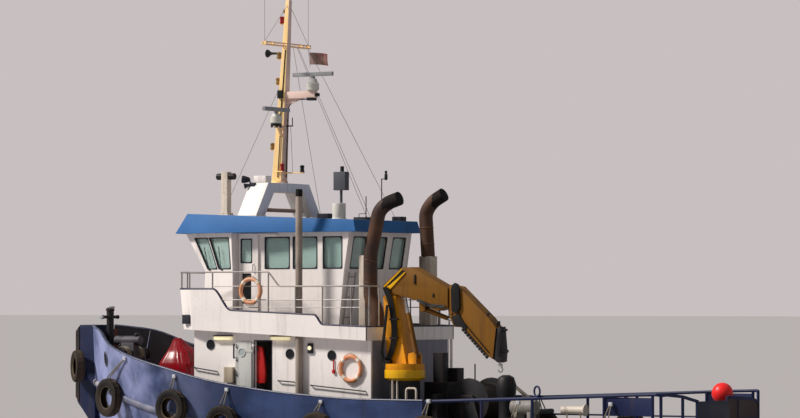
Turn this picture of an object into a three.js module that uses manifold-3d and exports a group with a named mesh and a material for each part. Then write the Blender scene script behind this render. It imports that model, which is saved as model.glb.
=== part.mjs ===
// Harbour tugboat: steel hull, two-storey house, mast, knuckle-boom crane and towing gear.
// Millimetres. +X points to the bow, +Y to port, +Z up; the origin is on the centreline,
// amidships, in the plane of the waterline.
import * as THREE from 'three';
import { mergeVertices } from 'three/addons/utils/BufferGeometryUtils.js';
import Module from 'manifold-3d';

const wasm = await Module();
wasm.setup();

// Clearance between pieces that rest on each other.
const FIT = 0.3;

// Hull sides from the stem aft: x, half breadth and height of the bulwark's rail,
// half breadth and height of the deck edge.
const SHEER = [
  [9350, 520, 3840, 450, 2370],
  [9100, 820, 3800, 700, 2340],
  [8550, 1300, 3700, 1130, 2260],
  [7700, 1950, 3300, 1760, 2100],
  [6400, 2450, 2940, 2300, 1810],
  [5200, 2700, 2690, 2600, 1590],
  [4000, 2800, 2430, 2750, 1400],
  [3000, 2800, 2270, 2800, 1250],
  [1000, 2800, 2060, 2800, 1050],
  [-1500, 2800, 1940, 2800, 1000],
  [-3100, 2800, 1940, 2800, 1000],
  [-6500, 2800, 2060, 2800, 1000],
  [-9300, 2800, 2180, 2800, 1000],
  [-9950, 2780, 2200, 2780, 1000],
  [-10100, 2660, 2200, 2660, 1000],
];
const BULWARK_END_X = -3100;
const BULWARK_THICK = 60;
// Hull bottom at the same places: half breadth and height of the bilge, half breadth and
// height of the flat floor.
const BOTTOM = [
  [130, 350, 70, -50],
  [260, 150, 100, -550],
  [560, 50, 150, -950],
  [1100, 0, 260, -1250],
  [1850, -100, 450, -1500],
  [2350, -250, 700, -1600],
  [2600, -400, 1000, -1650],
  [2700, -500, 1200, -1650],
  [2760, -600, 1400, -1650],
  [2760, -600, 1500, -1500],
  [2760, -550, 1600, -1350],
  [2740, -250, 1800, -850],
  [2700, 50, 1900, -420],
  [2660, 120, 1800, -340],
  [2540, 160, 1600, -290],
];
// Steel rubbing strake round the hull, just under the deck edge.
const STRAKE = { top: 60, height: 190, depth: 110 };
const SKEG = { fore: 3000, aft: -7600, halfWidth: 90, bottom: -2050 };
// Engine room under the deckhouse, and the two engine blocks in it.
const ENGINE_ROOM = { aft: -600, fore: 3900, half: 1450, floor: -1150 };
const ENGINE = { aft: 600, length: 2300, width: 800, height: 1250, y: 750 };

// Shafts and propellers, one pair each side of the skeg.
const SHAFT = { y: 1150, z: -1400, fore: -4300, aft: -7350, radius: 60 };
const PROPELLER = { x: -7150, radius: 540, blades: 4, hub: 150, bossRadius: 105 };
const RUDDER = { x: -8250, fore: 330, aft: 620, top: -560, bottom: -1880, thick: 110 };

const STOCK_TOP = -200;

// Pusher knee at the stem.
const KNEE = { aft: 9350 + FIT, fore: 10000, half: 450 };

// Tyre fenders hung outside the hull: x, height of the centre, outer diameter.
const TYRES = [
  [6900, 1840, 1070],
  [4650, 1620, 1000],
  [3100, 1220, 1000],
  [60, 1090, 1000],
  [-3300, 1050, 1000],
  [-6000, 1050, 1000],
  [-8700, 1050, 1000],
];
const BOW_TYRE = { diameter: 900, z: 2670, turn: 40, bears: 35 };
const TYRE_WIDTH = 270;
const TYRE_HOLE = 0.56;
const TYRE_BEARS = 12;

// Deckhouse on the main deck.
const HOUSE = { aft: -950, fore: 4800, half: 1950, wall: 70 };
const HOUSE_DOOR = { aft: 2250, fore: 2780, sill: 1500, top: 3420, leaf: 45, hinge: 2820 };
const KNUCKLE_Z = [1750, 3150];
// Underside of the bridge deck: it rises forward.
const BRIDGE_DECK = { aft: -950, aftUnder: 3460, fore: 5050, foreUnder: 3740, thick: 90 };
const BRIDGE_WALL = 50;
// Bridge-deck bulwark in plan and height, from aft port to the centre of the front:
// x, y, height of the top.
const BRIDGE_RIM = [
  [-950, 2200, 3830],
  [450, 2200, 3880],
  [560, 2200, 3970],
  [680, 2200, 4140],
  [3470, 2200, 4260],
  [3680, 2200, 4380],
  [3850, 2200, 4660],
  [4000, 2200, 4840],
  [4780, 2200, 4840],
  [5140, 2110, 4840],
  [5360, 1860, 4840],
  [5500, 1350, 4840],
];
// The front leans out: this far from its foot to its top.
const BRIDGE_LEAN = { from: 4700, out: 125 };
const BRIDGE_AFT_TOP = 3830;

// Wheelhouse: levels at the floor, the window sill and the head.
const CABIN = {
  sill: 5330, head: 6360 - FIT, wall: 60, half: 1550,
  aftX: [370, 170, 0], doorAft: 2930, doorFore: 3560,
  bayAft: 3640, bayFore: [4850, 4750, 5480],
  bayAftHalf: [1780, 1790, 1860], bayForeHalf: [1480, 1512, 1400],
};
const SLIDE = 600;
const DOOR_TOP = 6290;
const GLASS = { thick: 12, lap: 40 };
const WINDOW = { bottom: 5380, top: 6230 };
// Side windows of the wheelhouse: aft edge, fore edge.
const SIDE_WINDOWS = [[230, 840], [1035, 1815], [1930, 2735]];
// Bay side windows as aft bottom, fore bottom, fore top, aft top.
const BAY_WINDOWS = [[3710, 4200, 4545, 3750], [4255, 4650, 5140, 4600]];
const FRONT_WINDOWS = [[-1210, -450], [-380, 380], [450, 1210]];
const AFT_WINDOWS = [[-1290, -650], [-350, 350], [650, 1290]];

// Roof with its sloping visor: x, half breadth, bottom then top.
const ROOF = { bottom: 6360, topAtZero: 6690, rise: 0.04 };
const ROOF_BOTTOM = [[-250, 1640], [3700, 1980], [5740, 1550], [5790, 1350]];
const ROOF_TOP = [[-160, 1590], [3700, 1820], [5440, 1400], [5480, 1250]];

const VENT = { x: 1280, y: 2052, radius: 95, top: 7500 };

// Mast gantry and mast on the roof.
const GANTRY = { aft: 3010, fore: 3630, foot: 1390, shoulder: 930, top: 7740, under: 7490 };
const MAST = { footX: 3330, headX: 3020, foot: 7740, head: 12780, footHalf: 160, headHalf: 65 };

// Knuckle-boom crane abaft the house. Its outlines give the reach from the slewing axis,
// aft being positive, and the height.
const CRANE = { x: -1700, y: 1450 };
const BOOM_PIVOT = [-360, 4860];
const KNUCKLE = [1560, 4200];
const BOOM_WIDTH = 420;
const JIB_WIDTH = 360;
// Half width of the slots in the forked heels of the boom and jib.
const SLOT = 92;
const LUFF_CYLINDER = { foot: [360, 3060], eye: [0, 4620], barrel: 75, rod: 42, inner: 620, tube: 0.72, ears: 90 };
const JIB_CYLINDER = { foot: [620, 4290], eye: [1700, 3930], barrel: 62, rod: 36, inner: 550, tube: 0.66, ears: 80 };
const JIB_TIP = [2860, 3420];
const JIB_SLOPE = THREE.MathUtils.degToRad(-43);
const EXTENSION = { width: 150, depth: 210, length: 1200 };

const PAINT = {
  hull: [0x2c3a66, 0.45, 0.1], white: [0xe4ded6, 0.5, 0], blue: [0x4a82bd, 0.45, 0],
  glass: [0x7f9490, 0.1, 0], yellow: [0xe09a1c, 0.45, 0], mast: [0xe6b464, 0.5, 0],
  black: [0x1c1d22, 0.7, 0], rust: [0x4a2c20, 0.85, 0.2], tyre: [0x17171a, 0.9, 0],
  bronze: [0xa8803c, 0.4, 0.9], steel: [0x8c8f92, 0.4, 0.8], grey: [0x6a6d72, 0.6, 0.1],
  red: [0xb02834, 0.8, 0], orange: [0xe0602a, 0.6, 0], engine: [0x5b7d62, 0.6, 0.2],
  primer: [0x6a2f28, 0.7, 0],
};

// Geometry helpers. Each returns a closed solid that can be joined and cut.
function toSolid(geometry) {
  const source = geometry.index ? geometry : geometry.clone();
  source.deleteAttribute('normal');
  source.deleteAttribute('uv');
  const merged = mergeVertices(source, 1e-3);
  const mesh = new wasm.Mesh({
    numProp: 3,
    vertProperties: new Float32Array(merged.attributes.position.array),
    triVerts: new Uint32Array(merged.index.array),
  });
  return new wasm.Manifold(mesh);
}

function toGeometry(solid) {
  const mesh = solid.getMesh();
  const geometry = new THREE.BufferGeometry();
  geometry.setAttribute('position', new THREE.BufferAttribute(mesh.vertProperties, 3));
  geometry.setIndex(new THREE.BufferAttribute(mesh.triVerts, 1));
  geometry.computeVertexNormals();
  return geometry;
}

function join(...solids) {
  return solids.flat().reduce((whole, piece) => whole.add(piece));
}

function cut(solid, ...tools) {
  return tools.flat().reduce((whole, tool) => whole.subtract(tool), solid);
}

function block(x0, x1, y0, y1, z0, z1) {
  const geometry = new THREE.BoxGeometry(x1 - x0, y1 - y0, z1 - z0);
  geometry.translate((x0 + x1) / 2, (y0 + y1) / 2, (z0 + z1) / 2);
  return toSolid(geometry);
}

function extrude(outline, depth) {
  const shape = new THREE.Shape(outline.map(([a, b]) => new THREE.Vector2(a, b)));
  return new THREE.ExtrudeGeometry(shape, { depth, bevelEnabled: false });
}

// Outline in x and z, from y0 to y1.
function sidePrism(outline, y0, y1) {
  const geometry = extrude(outline, y1 - y0);
  geometry.rotateX(Math.PI / 2);
  geometry.translate(0, y1, 0);
  return toSolid(geometry);
}

// Outline in x and y, from z0 to z1.
function planPrism(outline, z0, z1) {
  const geometry = extrude(outline, z1 - z0);
  geometry.translate(0, 0, z0);
  return toSolid(geometry);
}

// Outline in y and z, from x0 to x1.
function endPrism(outline, x0, x1) {
  const geometry = extrude(outline, x1 - x0);
  geometry.applyMatrix4(new THREE.Matrix4().set(0, 0, 1, x0, 1, 0, 0, 0, 0, 1, 0, 0, 0, 0, 0, 1));
  return toSolid(geometry);
}

function rod(from, to, radius, sides = 12, endRadius = radius) {
  const start = new THREE.Vector3(...from);
  const end = new THREE.Vector3(...to);
  const geometry = new THREE.CylinderGeometry(endRadius, radius, start.distanceTo(end), sides);
  const along = end.clone().sub(start).normalize();
  geometry.applyQuaternion(new THREE.Quaternion().setFromUnitVectors(new THREE.Vector3(0, 1, 0), along));
  geometry.translate(...start.clone().lerp(end, 0.5).toArray());
  return toSolid(geometry);
}

// Solid of revolution about the vertical through a point: profile of radius and height.
function turned(profile, x, y, sides = 24) {
  const points = profile.map(([radius, z]) => new THREE.Vector2(radius, z));
  const geometry = new THREE.LatheGeometry(points, sides);
  geometry.rotateX(Math.PI / 2);
  geometry.translate(x, y, 0);
  return toSolid(geometry);
}

// Skin over closed sections with the same number of points, capped at both ends.
// Each four-sided face is split along its shorter diagonal.
function skin(sections) {
  const count = sections[0].length;
  const points = sections.flat();
  const faces = [];
  const addCap = (start, flip) => {
    const middle = new THREE.Vector3();
    for (let i = 0; i < count; i += 1) middle.add(new THREE.Vector3(...points[start + i]));
    points.push(middle.divideScalar(count).toArray());
    for (let i = 0; i < count; i += 1) {
      const next = (i + 1) % count;
      const pair = flip ? [start + next, start + i] : [start + i, start + next];
      faces.push(points.length - 1, ...pair);
    }
  };
  for (let s = 0; s + 1 < sections.length; s += 1) {
    for (let i = 0; i < count; i += 1) {
      const next = (i + 1) % count;
      const a = s * count + i;
      const b = s * count + next;
      const corner = (index) => new THREE.Vector3(...points[index]);
      const rising = corner(a + count).distanceTo(corner(b));
      const falling = corner(a).distanceTo(corner(b + count));
      if (rising <= falling) faces.push(a, a + count, b, b, a + count, b + count);
      else faces.push(a, a + count, b + count, a, b + count, b);
    }
  }
  addCap(0, false);
  addCap((sections.length - 1) * count, true);
  const geometry = new THREE.BufferGeometry();
  geometry.setAttribute('position', new THREE.Float32BufferAttribute(points.flat(), 3));
  geometry.setIndex(faces);
  const solid = toSolid(geometry);
  if (solid.volume() > 0) return solid;
  for (let i = 0; i < faces.length; i += 3) [faces[i], faces[i + 1]] = [faces[i + 1], faces[i]];
  geometry.setIndex(faces);
  return toSolid(geometry);
}

// Round bar or pipe through a list of points, with mitred corners.
function pipe(points, radius, sides = 10) {
  const corners = points.map((point) => new THREE.Vector3(...point));
  const runs = corners.slice(1).map((corner, i) => corner.clone().sub(corners[i]).normalize());
  const turn = new THREE.Quaternion().setFromUnitVectors(new THREE.Vector3(0, 0, 1), runs[0]);
  let ring = Array.from({ length: sides }, (_, k) => {
    const angle = ((k + 0.5) / sides) * Math.PI * 2;
    const spot = new THREE.Vector3(Math.cos(angle), Math.sin(angle), 0).multiplyScalar(radius);
    return spot.applyQuaternion(turn).add(corners[0]);
  });
  const rings = [ring];
  runs.forEach((run, i) => {
    const normal = runs[i + 1] ? run.clone().add(runs[i + 1]).normalize() : run;
    ring = ring.map((spot) => {
      const reach = corners[i + 1].clone().sub(spot).dot(normal) / run.dot(normal);
      return spot.clone().addScaledVector(run, reach);
    });
    rings.push(ring);
  });
  return skin(rings.map((spots) => spots.map((spot) => spot.toArray())));
}

// Path in plan moved sideways, to the right of its direction, with mitred corners.
function offsetPath(path, distance) {
  const normals = path.slice(1).map(([x, y], i) => {
    const run = new THREE.Vector2(x - path[i][0], y - path[i][1]).normalize();
    return new THREE.Vector2(run.y, -run.x);
  });
  return path.map(([x, y, z], i) => {
    const before = normals[Math.max(i - 1, 0)];
    const after = normals[Math.min(i, normals.length - 1)];
    const mitre = before.clone().add(after).normalize();
    const reach = distance / mitre.dot(after);
    return [x + mitre.x * reach, y + mitre.y * reach, z];
  });
}

// Plate that follows a path in plan, given at two or more levels from the bottom up.
function plate(levels, thick) {
  const inner = levels.map((level) => offsetPath(level, thick));
  const sections = levels[0].map((_, i) => [
    ...levels.map((level) => level[i]),
    ...inner.map((level) => level[i]).reverse(),
  ]);
  return skin(sections);
}

function mirrorPath(path) {
  return [...path, ...path.map(([x, y, z]) => [x, -y, z]).reverse()];
}

function mirrored(solid) {
  return solid.mirror([0, 1, 0]);
}

function bothSides(solid) {
  return join(solid, mirrored(solid));
}

const boat = new THREE.Group();

function addPiece(name, paint, ...solids) {
  const [color, roughness, metalness] = PAINT[paint];
  const material = new THREE.MeshStandardMaterial({ color, roughness, metalness });
  const mesh = new THREE.Mesh(toGeometry(join(...solids)), material);
  mesh.name = name;
  boat.add(mesh);
}

function between(table, x, column) {
  const i = table.findIndex((row, k) => k + 1 < table.length && x >= table[k + 1][0]);
  const [from, to] = [table[i], table[i + 1]];
  return THREE.MathUtils.mapLinear(x, from[0], to[0], from[column], to[column]);
}

function deckHeight(x) {
  return between(SHEER, x, 4);
}

// Points along the deck, or at a height above it, between two places.
function deckLine(x0, x1, above) {
  const stations = SHEER.map((row) => row[0]).filter((x) => x > x0 && x < x1).reverse();
  return [x0, ...stations, x1].map((x) => [x, deckHeight(x) + above]);
}

function bridgeUnder(x) {
  const { aft, fore, aftUnder, foreUnder } = BRIDGE_DECK;
  return THREE.MathUtils.mapLinear(x, aft, fore, aftUnder, foreUnder);
}

function bridgeTop(x) {
  return bridgeUnder(x) + BRIDGE_DECK.thick;
}

// Trims a solid that reaches too low, so that it stands on the bridge deck.
function onBridge(solid) {
  const [aft, fore] = [-1000, 6000];
  return cut(solid, sidePrism([
    [aft, 3000], [fore, 3000], [fore, bridgeTop(fore) + FIT], [aft, bridgeTop(aft) + FIT],
  ], -3000, 3000));
}
const SUNK = 40;

// Hull, with its skeg, strakes and shaft bossings.
function hullSection([x, , , deckHalf, deckZ], [bilgeHalf, bilgeZ, floorHalf, floorZ]) {
  const half = [[floorHalf, floorZ], [bilgeHalf, bilgeZ], [deckHalf, deckZ]];
  const starboard = half.map(([y, z]) => [x, -y, z]).reverse();
  return [...half.map(([y, z]) => [x, y, z]), ...starboard];
}

function hullHalfAt(index, z) {
  const [, , , deckHalf, deckZ] = SHEER[index];
  const [bilgeHalf, bilgeZ] = BOTTOM[index];
  return THREE.MathUtils.mapLinear(z, bilgeZ, deckZ, bilgeHalf, deckHalf);
}

function strakeSections() {
  const sections = SHEER.map((row, i) => {
    const top = row[4] - STRAKE.top;
    const low = top - STRAKE.height;
    const [outTop, outLow] = [hullHalfAt(i, top), hullHalfAt(i, low)];
    return [
      [row[0], outTop - 80, top],
      [row[0], outTop + STRAKE.depth * 0.55, top],
      [row[0], outTop + STRAKE.depth, top - STRAKE.height * 0.3],
      [row[0], outTop + STRAKE.depth, top - STRAKE.height * 0.7],
      [row[0], outLow + STRAKE.depth * 0.55, low],
      [row[0], outLow - 80, low],
    ];
  });
  return sections.slice(0, -2);
}

function buildHull() {
  const shell = skin(SHEER.map((row, i) => hullSection(row, BOTTOM[i])));
  const strakes = bothSides(skin(strakeSections()));
  const skeg = sidePrism([
    [SKEG.fore, -1500], [SKEG.fore - 900, SKEG.bottom + 150], [SKEG.aft + 900, SKEG.bottom],
    [SKEG.aft, SKEG.bottom], [SKEG.aft, -600],
  ], -SKEG.halfWidth, SKEG.halfWidth);
  const bossing = rod([SHAFT.fore + 900, SHAFT.y, SHAFT.z + 120], [SHAFT.fore, SHAFT.y, SHAFT.z], 230, 14, 130);
  const bracketFoot = block(-6600, -6400, SHAFT.y - 25, SHAFT.y + 25, SHAFT.z + 90, -700);
  const bearing = rod([-6620, SHAFT.y, SHAFT.z], [-6380, SHAFT.y, SHAFT.z], 125, 14);
  const shaftBore = rod([SHAFT.fore + 400, SHAFT.y, SHAFT.z], [SHAFT.aft, SHAFT.y, SHAFT.z], SHAFT.radius + 6, 14);
  const stockBore = rod([RUDDER.x, SHAFT.y, -900], [RUDDER.x, SHAFT.y, STOCK_TOP], 61, 14);
  const room = block(ENGINE_ROOM.aft, ENGINE_ROOM.fore, -ENGINE_ROOM.half, ENGINE_ROOM.half, ENGINE_ROOM.floor, 3000);
  const whole = join(shell, strakes, skeg, bothSides(join(bossing, bracketFoot, bearing)));
  return cut(whole, room, bothSides(shaftBore), bothSides(stockBore));
}
const hullSolid = buildHull();

function engineBlock(side) {
  const y = side * ENGINE.y;
  const low = ENGINE_ROOM.floor + FIT;
  return block(ENGINE.aft, ENGINE.aft + ENGINE.length, y - ENGINE.width / 2, y + ENGINE.width / 2, low, low + ENGINE.height);
}
const engineBed = block(ENGINE.aft, ENGINE.aft + ENGINE.length, -ENGINE.y, ENGINE.y,
  ENGINE_ROOM.floor + FIT, ENGINE_ROOM.floor + 150);
addPiece('main_engines', 'engine', engineBlock(1), engineBlock(-1), engineBed);

// Bulwark: plate on the deck edge from the stem to abaft the house, both sides.
const bulwarkRows = SHEER.filter((row) => row[0] >= BULWARK_END_X).reverse();
const bulwarkSide = plate([
  bulwarkRows.map((row) => [row[0], row[3], row[4] + FIT]),
  bulwarkRows.map((row) => [row[0], row[1], row[2]]),
], BULWARK_THICK);
addPiece('bulwark_port', 'hull', bulwarkSide);
addPiece('bulwark_starboard', 'hull', mirrored(bulwarkSide));

const kneeSolid = sidePrism([
  [KNEE.aft, 700], [KNEE.aft + 160, 1100], [KNEE.fore - 190, 1470], [KNEE.fore - 40, 1640],
  [KNEE.fore, 1760], [KNEE.fore, 3700], [KNEE.fore - 120, 3840], [KNEE.aft, 3840],
], -KNEE.half, KNEE.half);

// Tyre fenders, each pushed in until its flat back bears on the side.
function tyreShape(diameter) {
  const radius = diameter / 2;
  const hole = radius * TYRE_HOLE;
  const half = TYRE_WIDTH / 2;
  const profile = [
    [hole, -half * 0.7], [radius * 0.86, -half], [radius, -half * 0.5],
    [radius, half * 0.5], [radius * 0.86, half], [hole, half * 0.7], [hole, -half * 0.7],
  ];
  return new THREE.LatheGeometry(profile.map(([r, z]) => new THREE.Vector2(r, z)), 16);
}

function hangTyre(x, z, diameter, outward, targets, bears = TYRE_BEARS) {
  const start = new THREE.Vector3(x, 0, z).addScaledVector(outward, 4000);
  const inward = outward.clone().negate();
  const turn = new THREE.Quaternion().setFromUnitVectors(new THREE.Vector3(0, 1, 0), outward);
  const ray = new THREE.Raycaster();
  let nearest = Infinity;
  for (let k = 0; k < 90; k += 1) {
    for (const share of [0.66, 0.78, 0.86]) {
      const angle = (k / 90) * Math.PI * 2;
      const spot = new THREE.Vector3(Math.cos(angle), 0, Math.sin(angle)).multiplyScalar(diameter / 2 * share);
      ray.set(spot.applyQuaternion(turn).add(start), inward);
      const hit = ray.intersectObjects(targets)[0];
      if (hit) nearest = Math.min(nearest, hit.distance);
    }
  }
  const geometry = tyreShape(diameter);
  geometry.applyQuaternion(turn);
  geometry.translate(...start.addScaledVector(inward, nearest - TYRE_WIDTH / 2 + bears).toArray());
  return toSolid(geometry);
}

const sideMeshes = [hullSolid, kneeSolid].map((solid) => {
  const mesh = new THREE.Mesh(toGeometry(solid), new THREE.MeshBasicMaterial({ side: THREE.DoubleSide }));
  mesh.updateMatrixWorld();
  return mesh;
});

function plainTyres() {
  return TYRES.map(([x, z, diameter]) => {
    const ahead = between(SHEER, Math.min(x + 300, 9300), 1);
    const astern = between(SHEER, x - 300, 1);
    const outward = new THREE.Vector3(astern - ahead, 600, 0).normalize();
    return hangTyre(x, z, diameter, outward, sideMeshes);
  });
}

const kneeTyreTurn = THREE.MathUtils.degToRad(BOW_TYRE.turn);
const kneeTyreOut = new THREE.Vector3(Math.sin(kneeTyreTurn), Math.cos(kneeTyreTurn), 0);
const kneeTyre = hangTyre(9050, BOW_TYRE.z, BOW_TYRE.diameter, kneeTyreOut, sideMeshes, BOW_TYRE.bears);
addPiece('pusher_knee', 'hull', kneeSolid, bothSides(kneeTyre));

// Bitts: a post with a cap and a crossbar.
function bitt(x, y, radius, height, bar, seat = FIT, barShare = 0.72) {
  const base = deckHeight(x + radius);
  return join(
    rod([x, y, base + seat], [x, y, base + height], radius, 14),
    rod([x, y, base + height - 60], [x, y, base + height], radius * 1.2, 14),
    rod([x, y - bar, base + height * barShare], [x, y + bar, base + height * barShare], radius * 0.45, 10),
  );
}

// The hull carries its tyres, hatch coamings and welded bitts.
const hatches = join(block(-6200, -5300, -500, 500, 900, 1350), block(-8200, -7300, -500, 500, 900, 1350),
  block(5050, 5650, -350, 350, 1500, 2150));
const deckBitts = join(bitt(7900, 0, 130, 620, 300, -SUNK), bothSides(bitt(-8800, 2250, 100, 620, 260, -SUNK)));
addPiece('hull', 'hull', hullSolid, bothSides(join(plainTyres())), hatches, deckBitts);
addPiece('bow_bitt', 'black', bitt(9150, 0, 110, 2010, 380, FIT, 0.86));

// Propeller with its shaft, modelled at the port side and mirrored.
function propellerSolid() {
  const shaft = rod([SHAFT.fore + 400 - FIT, SHAFT.y, SHAFT.z], [SHAFT.aft, SHAFT.y, SHAFT.z], SHAFT.radius, 14);
  const bossAft = PROPELLER.x - PROPELLER.hub;
  const boss = rod([PROPELLER.x + PROPELLER.hub, SHAFT.y, SHAFT.z], [bossAft, SHAFT.y, SHAFT.z], PROPELLER.bossRadius, 14);
  const cone = rod([bossAft, SHAFT.y, SHAFT.z], [bossAft - 150, SHAFT.y, SHAFT.z], PROPELLER.bossRadius, 14, 30);
  const blades = [];
  for (let k = 0; k < PROPELLER.blades; k += 1) {
    const blade = extrude([
      [-90, 60], [-180, 230], [-200, 380], [-120, 500], [0, PROPELLER.radius],
      [120, 490], [180, 350], [150, 210], [90, 60],
    ], 26);
    blade.translate(0, 0, -13);
    blade.rotateY(THREE.MathUtils.degToRad(52));
    blade.rotateX(k * Math.PI * 2 / PROPELLER.blades);
    blade.translate(PROPELLER.x, SHAFT.y, SHAFT.z);
    blades.push(toSolid(blade));
  }
  return join(shaft, boss, cone, blades);
}

const portPropeller = propellerSolid();
addPiece('propeller_port', 'bronze', portPropeller);
addPiece('propeller_starboard', 'bronze', mirrored(portPropeller));

function rudderSolid() {
  const { x, fore, aft, top, bottom, thick } = RUDDER;
  const outline = [
    [x + fore, -thick * 0.25], [x + fore * 0.6, -thick / 2], [x - aft * 0.2, -thick / 2],
    [x - aft, -12], [x - aft, 12], [x - aft * 0.2, thick / 2], [x + fore * 0.6, thick / 2],
    [x + fore, thick * 0.25],
  ].map(([a, b]) => [a, b + SHAFT.y]);
  const blade = planPrism(outline, bottom, top - 130);
  const stock = rod([x, SHAFT.y, bottom + 200], [x, SHAFT.y, STOCK_TOP - FIT], 50, 14);
  return join(blade, stock);
}
const portRudder = rudderSolid();
addPiece('rudder_port', 'primer', portRudder);
addPiece('rudder_starboard', 'primer', mirrored(portRudder));

// Lifebuoy hung flat against a side.
function lifebuoy(x, y, z) {
  const ring = new THREE.TorusGeometry(320, 55, 6, 16);
  ring.rotateX(Math.PI / 2);
  ring.translate(x, y, z);
  return toSolid(ring);
}

// Deckhouse: four walls on the sloping deck, and the floor inside.
function houseSide(x0, x1) {
  const bottom = deckLine(x0, x1, FIT);
  return [...bottom, [x1, bridgeUnder(x1) - FIT], [x0, bridgeUnder(x0) - FIT]];
}
const houseInner = HOUSE.half - HOUSE.wall;
const doorCut = block(HOUSE_DOOR.aft, HOUSE_DOOR.fore, houseInner - 50, HOUSE.half + 50, HOUSE_DOOR.sill, HOUSE_DOOR.top);
const hingeY = HOUSE.half + 35;
const hingeLugs = KNUCKLE_Z.map((z) => block(HOUSE_DOOR.hinge - 22, HOUSE_DOOR.hinge + 22,
  HOUSE.half - 20, hingeY + 20, z + 130 + FIT, z + 200));
const portWall = join(
  cut(sidePrism(houseSide(HOUSE.aft, HOUSE.fore), houseInner, HOUSE.half), doorCut),
  hingeLugs, lifebuoy(-340, HOUSE.half + 40, 2710));
addPiece('deckhouse_port_wall', 'white', portWall);
addPiece('deckhouse_starboard_wall', 'white', mirrored(portWall));
const endHalf = houseInner - FIT;
addPiece('deckhouse_front_wall', 'white', sidePrism(houseSide(HOUSE.fore - HOUSE.wall, HOUSE.fore), -endHalf, endHalf));
addPiece('deckhouse_aft_wall', 'white', sidePrism(houseSide(HOUSE.aft, HOUSE.aft + HOUSE.wall), -endHalf, endHalf));
const floorAft = HOUSE.aft + HOUSE.wall + FIT;
const floorFore = HOUSE.fore - HOUSE.wall - FIT;
const floorOutline = [...deckLine(floorAft, floorFore, FIT), ...deckLine(floorAft, floorFore, 50).reverse()];
addPiece('deckhouse_floor', 'grey', sidePrism(floorOutline, -endHalf, endHalf));

// Steel door with its hinge knuckle: open flat against the wall to port, shut to starboard.
function doorLeaf(aft, y0, y1) {
  const width = HOUSE_DOOR.fore - HOUSE_DOOR.aft;
  const leaf = block(aft, aft + width, y0, y1, HOUSE_DOOR.sill + 15, HOUSE_DOOR.top - 15);
  return leaf;
}
const leafLow = HOUSE.half + 12;
const openLeaf = doorLeaf(HOUSE_DOOR.hinge + 45, leafLow, leafLow + HOUSE_DOOR.leaf);
const shutLeaf = doorLeaf(HOUSE_DOOR.aft - 8, leafLow, leafLow + HOUSE_DOOR.leaf);
const knuckles = KNUCKLE_Z.map((z) => rod([HOUSE_DOOR.hinge, hingeY, z], [HOUSE_DOOR.hinge, hingeY, z + 130], 20, 10));
const openStraps = KNUCKLE_Z.map((z) => block(HOUSE_DOOR.hinge, HOUSE_DOOR.hinge + 60, hingeY - 12, hingeY + 12, z + 20, z + 110));
const shutStraps = KNUCKLE_Z.map((z) => block(HOUSE_DOOR.hinge - 60, HOUSE_DOOR.hinge, hingeY - 12, hingeY + 12, z + 20, z + 110));
addPiece('deckhouse_door_port', 'white', openLeaf, ...knuckles, ...openStraps);
addPiece('deckhouse_door_starboard', 'white', mirrored(join(shutLeaf, ...knuckles, ...shutStraps)));

// Bridge deck and the bulwark round it.
function bridgeLevels() {
  const rim = mirrorPath(BRIDGE_RIM);
  const foot = rim.map(([x, y]) => {
    const footX = x > BRIDGE_LEAN.from ? x - BRIDGE_LEAN.out : x;
    return [footX, y, bridgeUnder(footX)];
  });
  return [foot, rim];
}
const bridgeAft = BRIDGE_DECK.aft;
const aftBoard = block(bridgeAft, bridgeAft + 45, -2190, 2190, bridgeUnder(bridgeAft + 45), BRIDGE_AFT_TOP);
addPiece('bridge_bulwark', 'white', plate(bridgeLevels(), BRIDGE_WALL), aftBoard);
const deckEdge = offsetPath(bridgeLevels()[0], BRIDGE_WALL + FIT).map(([x, y]) => [x, y]);
const slabAft = bridgeAft + 45 + FIT;
const slab = sidePrism([
  [slabAft, bridgeUnder(slabAft)], [5600, bridgeUnder(5600)], [5600, bridgeTop(5600)], [slabAft, bridgeTop(slabAft)],
], -2300, 2300);
const ventHole = rod([VENT.x, VENT.y, 3000], [VENT.x, VENT.y, 4500], VENT.radius + FIT, 14);
addPiece('bridge_deck', 'white', cut(slab.intersect(planPrism(deckEdge, 3000, 4500)), ventHole));

// Wheelhouse shell as one path from aft port round the front, cut into its panels.
function cabinLevels() {
  return [0, 1, 2].map((level) => {
    const foreX = CABIN.bayFore[level];
    const half = [
      [CABIN.aftX[level], CABIN.half], [CABIN.bayAft - 40, CABIN.half],
      [CABIN.bayAft, CABIN.bayAftHalf[level]], [foreX, CABIN.bayForeHalf[level]],
    ].map(([x, y]) => {
      const z = [bridgeTop(x) - SUNK, CABIN.sill, CABIN.head][level];
      return [x, y, z];
    });
    return mirrorPath(half);
  });
}

function aftLevels() {
  return [0, 1, 2].map((level) => {
    const x = CABIN.aftX[level];
    const z = [bridgeTop(x) - SUNK, CABIN.sill, CABIN.head][level];
    const half = CABIN.half - CABIN.wall - FIT;
    return [[x, -half, z], [x, half, z]];
  });
}

function windowCuts() {
  const { bottom: low, top: high } = WINDOW;
  const side = SIDE_WINDOWS.map(([a, b]) => sidePrism(
    [[a, low], [b, low], [b, high], [a, high]], 1300, 2200));
  const bay = BAY_WINDOWS.map(([a, b, c, d]) => sidePrism(
    [[a, low], [b, low], [c, high], [d, high]], 1150, 2200));
  const front = FRONT_WINDOWS.map(([a, b]) => endPrism(
    [[a, low], [b, low], [b, high], [a, high]], 4400, 5900));
  const aft = AFT_WINDOWS.map(([a, b]) => endPrism(
    [[a, low], [b, low], [b, high], [a, high]], -500, 900));
  return { side: bothSides(join(side, bay)), front: join(front), aft: join(aft) };
}

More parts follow.
